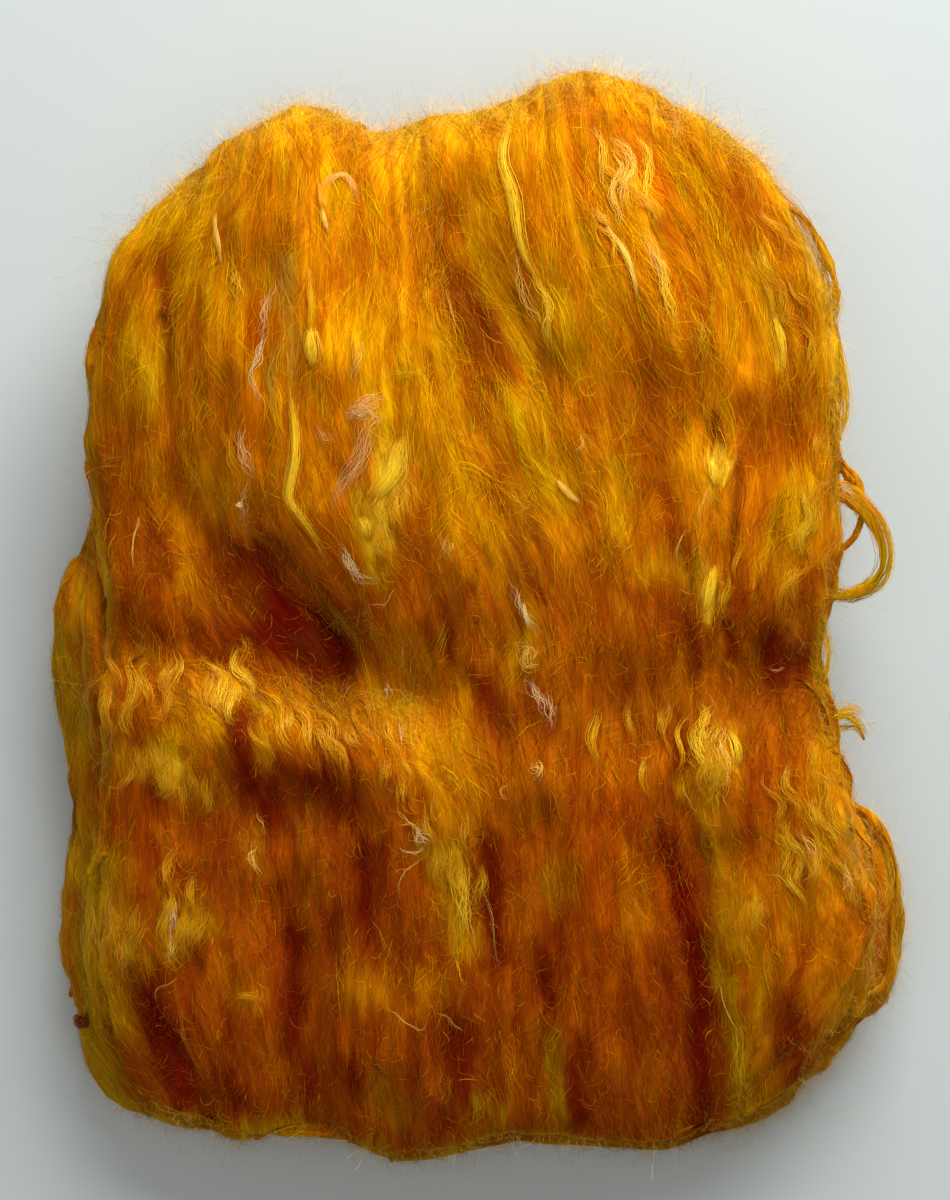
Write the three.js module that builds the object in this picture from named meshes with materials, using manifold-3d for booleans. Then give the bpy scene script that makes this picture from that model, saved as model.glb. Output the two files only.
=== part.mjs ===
// A silk batt: one thick sheet of carded silk fibre, folded back and forth in three layers, lying flat.
// Millimetres, +Z up, +X across the batt, +Y along its fibres. It rests on z = 0, centred on the origin.
import * as THREE from 'three';
import { mergeVertices } from 'three/addons/utils/BufferGeometryUtils.js';
import Module from 'manifold-3d';

// Driving sizes of the folded pad
const LENGTH = 272;              // along Y, over both rounded folds
const LAYER = 18;                // thickness of one layer of fibre
const GAP = 2;                   // air left between two layers
const EDGE_ROUND = 13;           // how far a side edge takes to round off
const END_ROUND = 12;            // how far a free end takes to thin out
const END_THINNEST = 0.16;       // thickness left at the very end, as a share of the layer
const FLAP_SHORT = 4;            // the top layer ends this far before the lower fold
const TUCK_SHORT = 19;           // the bottom layer ends this far before the upper fold

// Steps of the mesh
const TOP_ROWS = 40;             // rows along the top layer
const HIDDEN_ROWS = 15;          // rows along each of the two layers under it
const FOLD_ROWS = 7;             // rows round each fold
const END_ROWS = 3;              // rows over each thinning end
const OUTER_COLUMNS = 28;        // columns over the outer face
const INNER_COLUMNS = 10;        // columns over the inner face
const EDGE_COLUMNS = 3;          // columns round each side edge
const SETTLE_PASSES = 14;        // how often a point is moved until its row and column agree

const PITCH = LAYER + GAP;
const PAD_HEIGHT = 3 * LAYER + 2 * GAP;
const FOLD_RADIUS = PITCH / 2;
const NOSE = FOLD_RADIUS + LAYER / 2;

// Side edges of each layer, for a row of the batt at y
const EDGES = [
  { y: 110, topLeft: -76, midLeft: -75, lowLeft: -72, topRight: 75, midRight: 74, lowRight: 70 },
  { y: 104, topLeft: -81, midLeft: -79, lowLeft: -76, topRight: 80, midRight: 78, lowRight: 75 },
  { y: 94, topLeft: -90, midLeft: -87, lowLeft: -83, topRight: 84, midRight: 82, lowRight: 80 },
  { y: 82, topLeft: -93, midLeft: -91, lowLeft: -88, topRight: 88, midRight: 86, lowRight: 82 },
  { y: 60, topLeft: -96, midLeft: -93, lowLeft: -91, topRight: 91, midRight: 87, lowRight: 85 },
  { y: 38, topLeft: -97, midLeft: -95, lowLeft: -94, topRight: 90, midRight: 89, lowRight: 86 },
  { y: 20, topLeft: -94, midLeft: -99, lowLeft: -97, topRight: 90, midRight: 89, lowRight: 88 },
  { y: 4, topLeft: -92, midLeft: -104, lowLeft: -99, topRight: 88, midRight: 86, lowRight: 87 },
  { y: -16, topLeft: -92, midLeft: -107, lowLeft: -101, topRight: 85, midRight: 83, lowRight: 84 },
  { y: -32, topLeft: -93, midLeft: -103, lowLeft: -102, topRight: 87, midRight: 86, lowRight: 84 },
  { y: -48, topLeft: -94, midLeft: -101, lowLeft: -103, topRight: 92, midRight: 95, lowRight: 88 },
  { y: -64, topLeft: -94, midLeft: -101, lowLeft: -105, topRight: 97, midRight: 103, lowRight: 93 },
  { y: -82, topLeft: -94, midLeft: -102, lowLeft: -105, topRight: 99, midRight: 107, lowRight: 96 },
  { y: -98, topLeft: -92, midLeft: -100, lowLeft: -102, topRight: 94, midRight: 102, lowRight: 94 },
  { y: -112, topLeft: -88, midLeft: -96, lowLeft: -97, topRight: 85, midRight: 91, lowRight: 86 },
  { y: -122, topLeft: -80, midLeft: -88, lowLeft: -88, topRight: 75, midRight: 80, lowRight: 76 },
];

// Where the upper fold and the lower fold end, for a column of the batt at x
const ENDS = [
  { x: -96, upper: 92, lower: -112 },
  { x: -80, upper: 104, lower: -125 },
  { x: -68, upper: 112, lower: -131 },
  { x: -55, upper: 122, lower: -134 },
  { x: -44, upper: 126, lower: -131 },
  { x: -34, upper: 125, lower: -133 },
  { x: -24, upper: 120, lower: -137 },
  { x: -12, upper: 124, lower: -136 },
  { x: 2, upper: 125, lower: -133 },
  { x: 14, upper: 131, lower: -132 },
  { x: 26, upper: 135, lower: -133 },
  { x: 38, upper: 133, lower: -134 },
  { x: 50, upper: 127, lower: -134 },
  { x: 62, upper: 120, lower: -131 },
  { x: 74, upper: 112, lower: -124 },
  { x: 82, upper: 102, lower: -117 },
  { x: 98, upper: 88, lower: -100 },
];

// Height of the pad along its length, before its ridges and troughs
const LOFT = [
  { y: 136, height: 50 },
  { y: 118, height: 54 },
  { y: 90, height: 58 },
  { y: 55, height: 59 },
  { y: 25, height: 56 },
  { y: 0, height: 53 },
  { y: -20, height: 51 },
  { y: -40, height: 52 },
  { y: -60, height: 50 },
  { y: -90, height: 44 },
  { y: -118, height: 37 },
  { y: -137, height: 33 },
];
const CROWN_DROP = 0.2;          // share of the height lost at the side edges
const CROWN_HALF_WIDTH = 104;

// Ridges (rise above 0) and troughs (rise below 0): straight runs from one point to the next, with
// the half width of the run at its two ends. Runs of the same name are one ridge or trough.
const RELIEF = [
  { name: 'hollow', x0: -70, y0: 24, x1: -46, y1: -2, wide0: 13, wide1: 16, rise: -12 },
  { name: 'hollow', x0: -46, y0: -2, x1: -22, y1: -15, wide0: 16, wide1: 10, rise: -12 },
  { name: 'left crease', x0: -108, y0: -8, x1: -62, y1: -13, wide0: 9, wide1: 9, rise: -5.5 },
  { name: 'left crease', x0: -62, y0: -13, x1: -20, y1: -19, wide0: 9, wide1: 9, rise: -5.5 },
  { name: 'middle crease', x0: -20, y0: -18, x1: 36, y1: -26, wide0: 9, wide1: 11, rise: -1.5 },
  { name: 'right crease', x0: 36, y0: -26, x1: 92, y1: -16, wide0: 11, wide1: 9, rise: -4 },
  { name: 'right hollow', x0: 68, y0: -12, x1: 90, y1: -15, wide0: 12, wide1: 12, rise: -6 },
  { name: 'curly ridge', x0: -88, y0: -22, x1: -40, y1: -33, wide0: 10, wide1: 11, rise: 5 },
  { name: 'curly ridge', x0: -40, y0: -33, x1: -8, y1: -41, wide0: 11, wide1: 12, rise: 3.5 },
  { name: 'sunk patch', x0: -60, y0: -47, x1: -36, y1: -46, wide0: 9, wide1: 10, rise: -4 },
  { name: 'long furrow', x0: -13, y0: 120, x1: -6, y1: 88, wide0: 7, wide1: 8, rise: -5 },
  { name: 'long furrow', x0: -6, y0: 88, x1: 20, y1: 56, wide0: 8, wide1: 7, rise: -4 },
  { name: 'long furrow', x0: 20, y0: 56, x1: 34, y1: 20, wide0: 7, wide1: 7, rise: -2 },
  { name: 'bright swell', x0: 14, y0: 112, x1: 46, y1: 70, wide0: 14, wide1: 16, rise: 3 },
  { name: 'left swell', x0: -52, y0: 108, x1: -40, y1: 60, wide0: 13, wide1: 13, rise: 3 },
  { name: 'middle swell', x0: -22, y0: 66, x1: 0, y1: 18, wide0: 12, wide1: 14, rise: 3 },
  { name: 'side furrow', x0: -76, y0: 84, x1: -80, y1: 20, wide0: 7, wide1: 8, rise: -3 },
  { name: 'right furrow', x0: 60, y0: 104, x1: 68, y1: 66, wide0: 6, wide1: 7, rise: -2.5 },
  { name: 'right shade', x0: 40, y0: 54, x1: 78, y1: 42, wide0: 15, wide1: 16, rise: -3.5 },
  { name: 'bright lock', x0: 56, y0: -29, x1: 60, y1: -50, wide0: 6, wide1: 6, rise: 3.5 },
  { name: 'parting', x0: 49, y0: -50, x1: 56, y1: -84, wide0: 7, wide1: 8, rise: -4 },
  { name: 'parting', x0: 56, y0: -84, x1: 57, y1: -126, wide0: 8, wide1: 8, rise: -5 },
  { name: 'right lobe', x0: 84, y0: -54, x1: 88, y1: -84, wide0: 13, wide1: 13, rise: 3.5 },
  { name: 'middle furrow', x0: -44, y0: -70, x1: -44, y1: -124, wide0: 8, wide1: 8, rise: -3.5 },
  { name: 'inner swell', x0: -12, y0: -56, x1: -18, y1: -106, wide0: 11, wide1: 13, rise: 3 },
  { name: 'inner furrow', x0: 12, y0: -52, x1: 10, y1: -122, wide0: 8, wide1: 8, rise: -2.5 },
  { name: 'corner furrow', x0: -84, y0: -96, x1: -68, y1: -124, wide0: 8, wide1: 8, rise: -3.5 },
  { name: 'lower left swell', x0: -74, y0: -70, x1: -84, y1: -90, wide0: 9, wide1: 9, rise: 3 },
];

// Locks that stand clear of the rim and show from above. Each starts in the middle of its layer
// and goes through its points in turn; the third number of a point is its height over that start.
const SHOWN_LOCKS = [
  { name: 'big loop', layer: 'top', thick: 2.2, tip: 1.4, path: [
    [78, 30, 0], [90, 29, 0], [98, 22, -1], [100.5, 13, -2], [96, 6, -3], [80, 4, -2]] },
  { name: 'crook above loop', layer: 'top', thick: 2, tip: 1.2, path: [
    [76, 42, 0], [89, 39, 0], [94.5, 31, -2], [95, 23, -3], [90, 16, -4], [78, 15, -3]] },
  { name: 'shoulder curl', layer: 'top', thick: 2.2, tip: 1.2, path: [
    [68, 100, 0], [81, 99, -1], [88.5, 90, -2], [90, 76, -3], [78, 66, -2]] },
  { name: 'shoulder wisp', layer: 'mid', thick: 2, tip: 1, path: [
    [72, 84, 0], [88, 77, 1], [93, 65, 1], [92.5, 54, 0], [78, 46, 0]] },
  { name: 'waist wisp', layer: 'top', thick: 2.2, tip: 0.8, path: [
    [74, -22, 0], [86, -24, 0], [93, -27, -1], [95.5, -31, -2]] },
  { name: 'lobe curl', layer: 'mid', thick: 2.4, tip: 1.4, path: [
    [84, -44, 0], [98, -50, 2], [106, -62, 3], [108.5, -76, 3], [105, -92, 2], [88, -98, 0]] },
  { name: 'lower curl', layer: 'mid', thick: 2.2, tip: 1, path: [
    [86, -92, 0], [100, -98, 0], [99, -105, -1], [90, -112, -3]] },
  { name: 'left curl', layer: 'mid', thick: 2, tip: 1.2, path: [
    [-88, 16, 0], [-101, 12, 1], [-107, 2, 1], [-108, -10, 0], [-92, -20, 0]] },
  { name: 'lower left curl', layer: 'low', thick: 2, tip: 1.2, path: [
    [-88, -50, 0], [-102, -56, 1], [-107, -68, 2], [-106, -82, 1], [-90, -90, 0]] },
];

// Locks that lie half sunk in the rim and make it lumpy, a row for each stretch of it
const RIM_LOCKS = [
  { name: 'upper fold', side: 'upper', layer: 'top', from: -70, to: 70, count: 9 },
  { name: 'lower fold', side: 'lower', layer: 'low', from: -76, to: 68, count: 9 },
  { name: 'top left', side: 'left', layer: 'top', from: 92, to: -84, count: 6 },
  { name: 'low left', side: 'left', layer: 'low', from: 26, to: -80, count: 5 },
  { name: 'top right', side: 'right', layer: 'top', from: 96, to: -84, count: 6 },
  { name: 'mid right', side: 'right', layer: 'mid', from: -36, to: -80, count: 3 },
];
const RIM_THICK = 7;
const RIM_TIP = 3;
const FREE_THINNEST = 1.4;       // the tip of a lock that ends free
const RIM_SUNK = 2.2;            // how deep the middle of a rim lock lies under the rim
const RIM_ROOT = 7;              // how deep its ends lie
const RIM_RUN = 26;              // its length along a side edge
const RIM_JITTER = 0.6;          // how unevenly they are spaced, as a share of their spacing
const FREE_TIP = 2.2;            // how far the end of a free lock stands off a side edge
const FREE_EVERY = 3;            // every third lock of a side edge ends free
const FOLD_LEAN = 5;             // how far a lock over a fold may slant
const FOLD_REACH = 65;           // degrees that it goes up and down round the fold
const LOCK_SIDES = 4;
const SHOWN_STEPS = 10;          // steps along a lock that shows
const RIM_STEPS = 5;             // steps along a sunk lock
const SALT_STEP = 1000;          // keeps the variations of the locks apart
const LAYER_MIDDLES = { top: 2.5 * LAYER + 2 * GAP, mid: 1.5 * LAYER + GAP, low: 0.5 * LAYER };

// A value between the rows of a table, on a smooth curve through them
function between(table, key, column, at) {
  const rising = table[table.length - 1][key] > table[0][key];
  const rows = rising ? table : [...table].reverse();
  const last = rows.length - 1;
  if (at <= rows[0][key]) return rows[0][column];
  if (at >= rows[last][key]) return rows[last][column];
  const next = rows.findIndex((row) => row[key] > at);
  const a = rows[Math.max(next - 2, 0)];
  const b = rows[next - 1];
  const c = rows[next];
  const d = rows[Math.min(next + 1, last)];
  const span = c[key] - b[key];
  const t = (at - b[key]) / span;
  const slopeB = ((c[column] - a[column]) / (c[key] - a[key])) * span;
  const slopeC = ((d[column] - b[column]) / (d[key] - b[key])) * span;
  const t2 = t * t;
  const t3 = t2 * t;
  return (2 * t3 - 3 * t2 + 1) * b[column] + (t3 - 2 * t2 + t) * slopeB
    + (3 * t2 - 2 * t3) * c[column] + (t3 - t2) * slopeC;
}

const smooth = (t) => THREE.MathUtils.smoothstep(t, 0, 1);

// A steady value between 0 and 1 for each number, so that the locks vary
const vary = (index, salt) => THREE.MathUtils.seededRandom(SALT_STEP * salt + index + 1);

// Rise of one run of a ridge or trough at x, y
function runRise(run, x, y) {
  const dx = run.x1 - run.x0;
  const dy = run.y1 - run.y0;
  const along = ((x - run.x0) * dx + (y - run.y0) * dy) / (dx * dx + dy * dy);
  const t = THREE.MathUtils.clamp(along, 0, 1);
  const distance = Math.hypot(x - run.x0 - t * dx, y - run.y0 - t * dy);
  const width = THREE.MathUtils.lerp(run.wide0, run.wide1, t);
  return run.rise * Math.exp(-((distance / width) ** 2));
}

// Rise of all ridges and troughs at x, y. Where two runs of one name meet, the stronger one holds.
function reliefAt(x, y) {
  const strongest = new Map();
  RELIEF.forEach((run) => {
    const rise = runRise(run, x, y);
    const held = strongest.get(run.name) ?? 0;
    strongest.set(run.name, Math.abs(rise) > Math.abs(held) ? rise : held);
  });
  return [...strongest.values()].reduce((sum, rise) => sum + rise, 0);
}

// Height of the pad at x, y
function padHeight(x, y) {
  const crown = 1 - CROWN_DROP * Math.min(Math.abs(x) / CROWN_HALF_WIDTH, 1) ** 3;
  return between(LOFT, 'y', 'height', y) * crown + reliefAt(x, y);
}

// Left or right edge of the batt at y, where it passes from one layer (share 0) to the next (share 1)
function edgeAt(row, side, y) {
  const from = between(EDGES, 'y', row.layers[0] + side, y);
  const to = between(EDGES, 'y', row.layers[1] + side, y);
  return THREE.MathUtils.lerp(from, to, row.share);
}

// Places a point of the straight pad (across -1 to 1, y, z) in the batt's real outline and loft
function settle(row, point, y, z) {
  const half = LENGTH / 2;
  let placedY = y;
  let x = 0;
  for (let pass = 0; pass < SETTLE_PASSES; pass += 1) {
    const left = edgeAt(row, 'Left', placedY);
    const right = edgeAt(row, 'Right', placedY);
    const flatHalf = (right - left) / 2 - EDGE_ROUND;
    x = (left + right) / 2 + point.across * flatHalf + point.bulge * EDGE_ROUND;
    const upper = (between(ENDS, 'x', 'upper', x) - half) * smooth(y / (half - NOSE));
    const lower = (between(ENDS, 'x', 'lower', x) + half) * smooth(-y / (half - NOSE));
    placedY = (placedY + y + upper + lower) / 2;
  }
  return new THREE.Vector3(x, placedY, z * (padHeight(x, placedY) / PAD_HEIGHT));
}

// The points round one section: its outer face, right edge, inner face and left edge
function sectionPoints() {
  const points = [];
  const columns = (count, face) => {
    for (let i = 0; i <= count; i += 1) {
      points.push({ across: face * (2 * i / count - 1), bulge: 0, rise: face });
    }
  };
  const edge = (face) => {
    for (let i = 1; i <= EDGE_COLUMNS; i += 1) {
      const angle = Math.PI * (i / (EDGE_COLUMNS + 1));
      points.push({ across: face, bulge: face * Math.sin(angle), rise: face * Math.cos(angle) });
    }
  };
  columns(OUTER_COLUMNS, 1);
  edge(1);
  columns(INNER_COLUMNS, -1);
  edge(-1);
  return points;
}

// The rows along the batt, from the top layer's free end to the bottom layer's free end.
// y and z are on the middle of the layer, and (outY, outZ) points to its outer face.
function pathRows() {
  const rows = [];
  const half = LENGTH / 2;
  const turn = half - NOSE;
  const flapEnd = -half + FLAP_SHORT;
  const tuckEnd = half - TUCK_SHORT;

  const freeEnd = (y, z, outZ, layer, way, angle) => rows.push({
    y: y + way * END_ROUND * Math.sin(angle),
    z,
    outY: 0,
    outZ,
    layers: [layer, layer],
    share: 0,
    thin: Math.max(Math.cos(angle), END_THINNEST),
  });
  const straight = (from, to, z, outZ, layer, count) => {
    for (let i = 0; i <= count; i += 1) {
      const y = THREE.MathUtils.lerp(from, to, i / count);
      rows.push({ y, z, outY: 0, outZ, layers: [layer, layer], share: 0, thin: 1 });
    }
  };
  const fold = (centreY, centreZ, way, layers) => {
    for (let i = 1; i < FOLD_ROWS; i += 1) {
      const angle = Math.PI * (0.5 - way * i / FOLD_ROWS);
      const outY = Math.cos(angle);
      const outZ = Math.sin(angle);
      rows.push({
        y: centreY + FOLD_RADIUS * outY,
        z: centreZ + FOLD_RADIUS * outZ,
        outY: way * outY,
        outZ: way * outZ,
        layers,
        share: i / FOLD_ROWS,
        thin: 1,
      });
    }
  };

  for (let i = END_ROWS; i > 0; i -= 1) {
    freeEnd(flapEnd + END_ROUND, LAYER_MIDDLES.top, 1, 'top', -1, (Math.PI / 2) * (i / END_ROWS));
  }
  straight(flapEnd + END_ROUND, turn, LAYER_MIDDLES.top, 1, 'top', TOP_ROWS);
  fold(turn, LAYER_MIDDLES.mid + FOLD_RADIUS, 1, ['top', 'mid']);
  straight(turn, -turn, LAYER_MIDDLES.mid, -1, 'mid', HIDDEN_ROWS);
  fold(-turn, LAYER_MIDDLES.low + FOLD_RADIUS, -1, ['mid', 'low']);
  straight(-turn, tuckEnd - END_ROUND, LAYER_MIDDLES.low, 1, 'low', HIDDEN_ROWS);
  for (let i = 1; i <= END_ROWS; i += 1) {
    freeEnd(tuckEnd - END_ROUND, LAYER_MIDDLES.low, 1, 'low', 1, (Math.PI / 2) * (i / END_ROWS));
  }
  return rows;
}

// Triangles over a free end: its outer and its inner face are joined from left to right
function closeEnd(indices, first, flipped) {
  const outer = Array.from({ length: OUTER_COLUMNS + 1 }, (_, i) => first + i);
  const ringCount = sectionPoints().length;
  const inner = [];
  for (let i = ringCount - 1; i > OUTER_COLUMNS; i -= 1) inner.push(first + i);
  let a = 0;
  let b = 0;
  while (a < outer.length - 1 || b < inner.length - 1) {
    const outerShare = (a + 1) / (outer.length - 1);
    const innerShare = (b + 1) / (inner.length - 1);
    const takeOuter = b === inner.length - 1 || (a < outer.length - 1 && outerShare <= innerShare);
    const triangle = takeOuter ? [outer[a], outer[a + 1], inner[b]] : [outer[a], inner[b + 1], inner[b]];
    if (flipped) triangle.reverse();
    indices.push(...triangle);
    if (takeOuter) a += 1;
    else b += 1;
  }
}

// The folded sheet as one closed skin
function foldedSheet() {
  const section = sectionPoints();
  const rows = pathRows();
  const positions = [];
  const indices = [];
  rows.forEach((row) => section.forEach((point) => {
    const offset = point.rise * row.thin * LAYER / 2;
    const placed = settle(row, point, row.y + offset * row.outY, row.z + offset * row.outZ);
    positions.push(placed.x, placed.y, placed.z);
  }));
  const gap = (i, j) => Math.hypot(...[0, 1, 2].map((k) => positions[3 * i + k] - positions[3 * j + k]));
  for (let r = 0; r < rows.length - 1; r += 1) {
    for (let i = 0; i < section.length; i += 1) {
      const a = r * section.length + i;
      const b = r * section.length + (i + 1) % section.length;
      const c = a + section.length;
      const d = b + section.length;
      const shorter = gap(a, d) < gap(b, c) ? [a, b, d, a, d, c] : [a, b, c, b, d, c];
      indices.push(...shorter);
    }
  }
  closeEnd(indices, 0, true);
  closeEnd(indices, (rows.length - 1) * section.length, false);
  const geometry = new THREE.BufferGeometry();
  geometry.setAttribute('position', new THREE.Float32BufferAttribute(positions, 3));
  geometry.setIndex(indices);
  return geometry;
}

// One lock of fibre: a tapering strand with flat sides through its points
function lock(path, thick, tip, steps) {
  const curve = new THREE.CatmullRomCurve3(path.map((point) => new THREE.Vector3(...point)));
  const frames = curve.computeFrenetFrames(steps, false);
  const positions = [];
  const indices = [];
  for (let s = 0; s <= steps; s += 1) {
    const centre = curve.getPointAt(s / steps);
    const radius = THREE.MathUtils.lerp(thick, tip, s / steps) / 2;
    for (let k = 0; k < LOCK_SIDES; k += 1) {
      const angle = 2 * Math.PI * (k / LOCK_SIDES);
      const point = centre.clone()
        .addScaledVector(frames.normals[s], radius * Math.cos(angle))
        .addScaledVector(frames.binormals[s], radius * Math.sin(angle));
      positions.push(point.x, point.y, point.z);
    }
  }
  for (let s = 0; s < steps; s += 1) {
    for (let k = 0; k < LOCK_SIDES; k += 1) {
      const a = s * LOCK_SIDES + k;
      const b = s * LOCK_SIDES + (k + 1) % LOCK_SIDES;
      indices.push(a, b, b + LOCK_SIDES, a, b + LOCK_SIDES, a + LOCK_SIDES);
    }
  }
  const last = steps * LOCK_SIDES;
  for (let k = 1; k < LOCK_SIDES - 1; k += 1) {
    indices.push(0, k + 1, k);
    indices.push(last, last + k, last + k + 1);
  }
  const geometry = new THREE.BufferGeometry();
  geometry.setAttribute('position', new THREE.Float32BufferAttribute(positions, 3));
  geometry.setIndex(indices);
  return geometry;
}

// Height of the middle of a layer at x, y
function layerHeight(layer, x, y) {
  return LAYER_MIDDLES[layer] * padHeight(x, y) / PAD_HEIGHT;
}

// One of the shown locks
function shownLock(shown) {
  const [rootX, rootY] = shown.path[0];
  const rootZ = layerHeight(shown.layer, rootX, rootY);
  const path = shown.path.map(([x, y, rise]) => [x, y, rootZ + rise]);
  return lock(path, shown.thick, shown.tip, SHOWN_STEPS);
}

// One lock that follows the fibres over a rounded fold, half sunk in it
function foldLock(stretch, x, slant) {
  const out = stretch.side === 'upper' ? 1 : -1;
  const end = between(ENDS, 'x', stretch.side, x);
  const scale = padHeight(x, end - out * NOSE) / PAD_HEIGHT;
  const centreZ = (LAYER_MIDDLES[stretch.layer] - out * FOLD_RADIUS) * scale;
  const path = [1, 0.5, 0, -0.5, -1].map((share) => {
    const angle = THREE.MathUtils.degToRad(FOLD_REACH * share);
    const sunk = THREE.MathUtils.lerp(RIM_SUNK, RIM_ROOT, share * share);
    const y = end - out * (NOSE - (NOSE - sunk) * Math.cos(angle));
    return [x + slant * share, y, centreZ + (NOSE - sunk) * Math.sin(angle) * scale];
  });
  return lock(path, RIM_THICK, RIM_TIP, RIM_STEPS);
}

// One lock that runs along a side edge of a layer, half sunk in it or ending free
function edgeLock(stretch, from, free) {
  const left = stretch.side === 'left';
  const out = left ? -1 : 1;
  const column = stretch.layer + (left ? 'Left' : 'Right');
  const sunk = [-RIM_ROOT, -RIM_SUNK, -RIM_SUNK, free ? FREE_TIP : -RIM_ROOT];
  const path = sunk.map((outward, step) => {
    const y = from - RIM_RUN * (step / (sunk.length - 1));
    const edge = between(EDGES, 'y', column, y);
    return [edge + out * outward, y, layerHeight(stretch.layer, edge - out * EDGE_ROUND, y)];
  });
  return lock(path, RIM_THICK, free ? FREE_THINNEST : RIM_TIP, RIM_STEPS);
}

// All locks of one stretch of the rim
function rimLocks(stretch, salt) {
  const folded = stretch.side === 'upper' || stretch.side === 'lower';
  const locks = [];
  for (let i = 0; i < stretch.count; i += 1) {
    const spread = (i + 0.5 + RIM_JITTER * (vary(i, salt) - 0.5)) / stretch.count;
    const at = THREE.MathUtils.lerp(stretch.from, stretch.to, spread);
    const slant = FOLD_LEAN * (2 * vary(i, salt + 1) - 1);
    locks.push(folded ? foldLock(stretch, at, slant) : edgeLock(stretch, at, i % FREE_EVERY === 1));
  }
  return locks;
}

// The batt: the folded sheet joined with all its locks
async function battGeometry() {
  const wasm = await Module();
  wasm.setup();
  const solid = (geometry) => {
    const merged = mergeVertices(geometry);
    return new wasm.Manifold(new wasm.Mesh({
      numProp: 3,
      vertProperties: new Float32Array(merged.attributes.position.array),
      triVerts: new Uint32Array(merged.index.array),
    }));
  };
  const locks = SHOWN_LOCKS.map(shownLock);
  RIM_LOCKS.forEach((stretch, index) => locks.push(...rimLocks(stretch, 10 * index)));
  const joined = locks.reduce((batt, geometry) => batt.add(solid(geometry)), solid(foldedSheet()));
  const mesh = joined.getMesh();
  const geometry = new THREE.BufferGeometry();
  geometry.setAttribute('position', new THREE.Float32BufferAttribute(mesh.vertProperties, 3));
  geometry.setIndex(Array.from(mesh.triVerts));
  geometry.computeBoundingBox();
  const middle = geometry.boundingBox.getCenter(new THREE.Vector3());
  geometry.translate(-middle.x, -middle.y, -geometry.boundingBox.min.z);
  geometry.computeVertexNormals();
  return geometry;
}

const batt = new THREE.Mesh(
  await battGeometry(),
  new THREE.MeshStandardMaterial({ color: 0xb86a0a, roughness: 0.75, metalness: 0 }),
);
batt.name = 'batt';

const object = new THREE.Group();
object.add(batt);

export default object;
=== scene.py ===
"""The dressed silk batt: a folded pad of dyed silk fibre, seen from straight above on a pale floor.

Tables are in millimetres, in the frame's own axes: X across the batt, Y along its fibres, Z up.
Everything that is built is in metres.
"""

import math

import bmesh
import bpy
import numpy as np
from mathutils import Matrix, Vector, noise
from mathutils.bvhtree import BVHTree


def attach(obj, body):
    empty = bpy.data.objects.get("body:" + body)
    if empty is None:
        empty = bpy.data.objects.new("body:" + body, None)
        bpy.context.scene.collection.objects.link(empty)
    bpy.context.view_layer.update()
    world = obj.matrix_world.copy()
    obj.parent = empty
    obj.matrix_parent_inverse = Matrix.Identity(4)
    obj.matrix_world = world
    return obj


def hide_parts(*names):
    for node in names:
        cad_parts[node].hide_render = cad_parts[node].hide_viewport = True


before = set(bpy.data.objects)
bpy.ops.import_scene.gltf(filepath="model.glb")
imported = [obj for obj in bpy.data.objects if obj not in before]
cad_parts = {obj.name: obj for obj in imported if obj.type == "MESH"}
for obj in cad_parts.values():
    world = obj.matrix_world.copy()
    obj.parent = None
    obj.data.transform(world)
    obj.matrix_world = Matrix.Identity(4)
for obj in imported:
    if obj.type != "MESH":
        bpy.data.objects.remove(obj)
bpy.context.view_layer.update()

MM = 0.001
SEED = 7

# Camera: straight above, in millimetres
FRAME_HEIGHT = 300               # height of the picture, on the batt's middle plane
FRAME_MIDDLE = (-0.6, 4.8)       # middle of the picture
MIDDLE_PLANE = 30
CAMERA_HEIGHT = 900              # over that plane
SENSOR = 36

# Linear colours of the dyed silk
PALETTE = {
    "gold": (0.62, 0.202, 0.001),
    "bright": (0.72, 0.285, 0.001),
    "honey": (0.58, 0.168, 0.001),
    "amber": (0.53, 0.130, 0.001),
    "mustard": (0.57, 0.245, 0.001),
    "russet": (0.40, 0.088, 0.0),
    "umber": (0.265, 0.050, 0.0),
    "rust": (0.34, 0.054, 0.0),
    # maroon: a dark dye, also laid as painted shade in the hollow and the openings
    "maroon": (0.125, 0.002, 0.0),
    "olive": (0.34, 0.178, 0.0),
    "orange": (0.67, 0.150, 0.001),
    "flame": (0.60, 0.130, 0.001),
    "vermilion": (0.48, 0.070, 0.001),
    # lemon: the pale yellow of shiny locks, also the colour of their painted glints
    "lemon": (0.98, 0.580, 0.020),
    "cream": (0.93, 0.550, 0.090),
    "pink": (0.90, 0.480, 0.170),
    "pearl": (0.92, 0.640, 0.300),
    "smoke": (0.50, 0.300, 0.030),
    "straw": (0.64, 0.340, 0.006),
}
GREENEST = 0.56                  # green's greatest share of red in the dyed ground

# Ground colour along the batt, from the lower fold to the upper one
GROUND = [
    (-140, "olive"),
    (-132, "umber"),
    (-100, "rust"),
    (-60, "rust"),
    (-30, "russet"),
    (0, "russet"),
    (30, "amber"),
    (55, "honey"),
    (80, "gold"),
    (140, "gold"),
]
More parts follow.
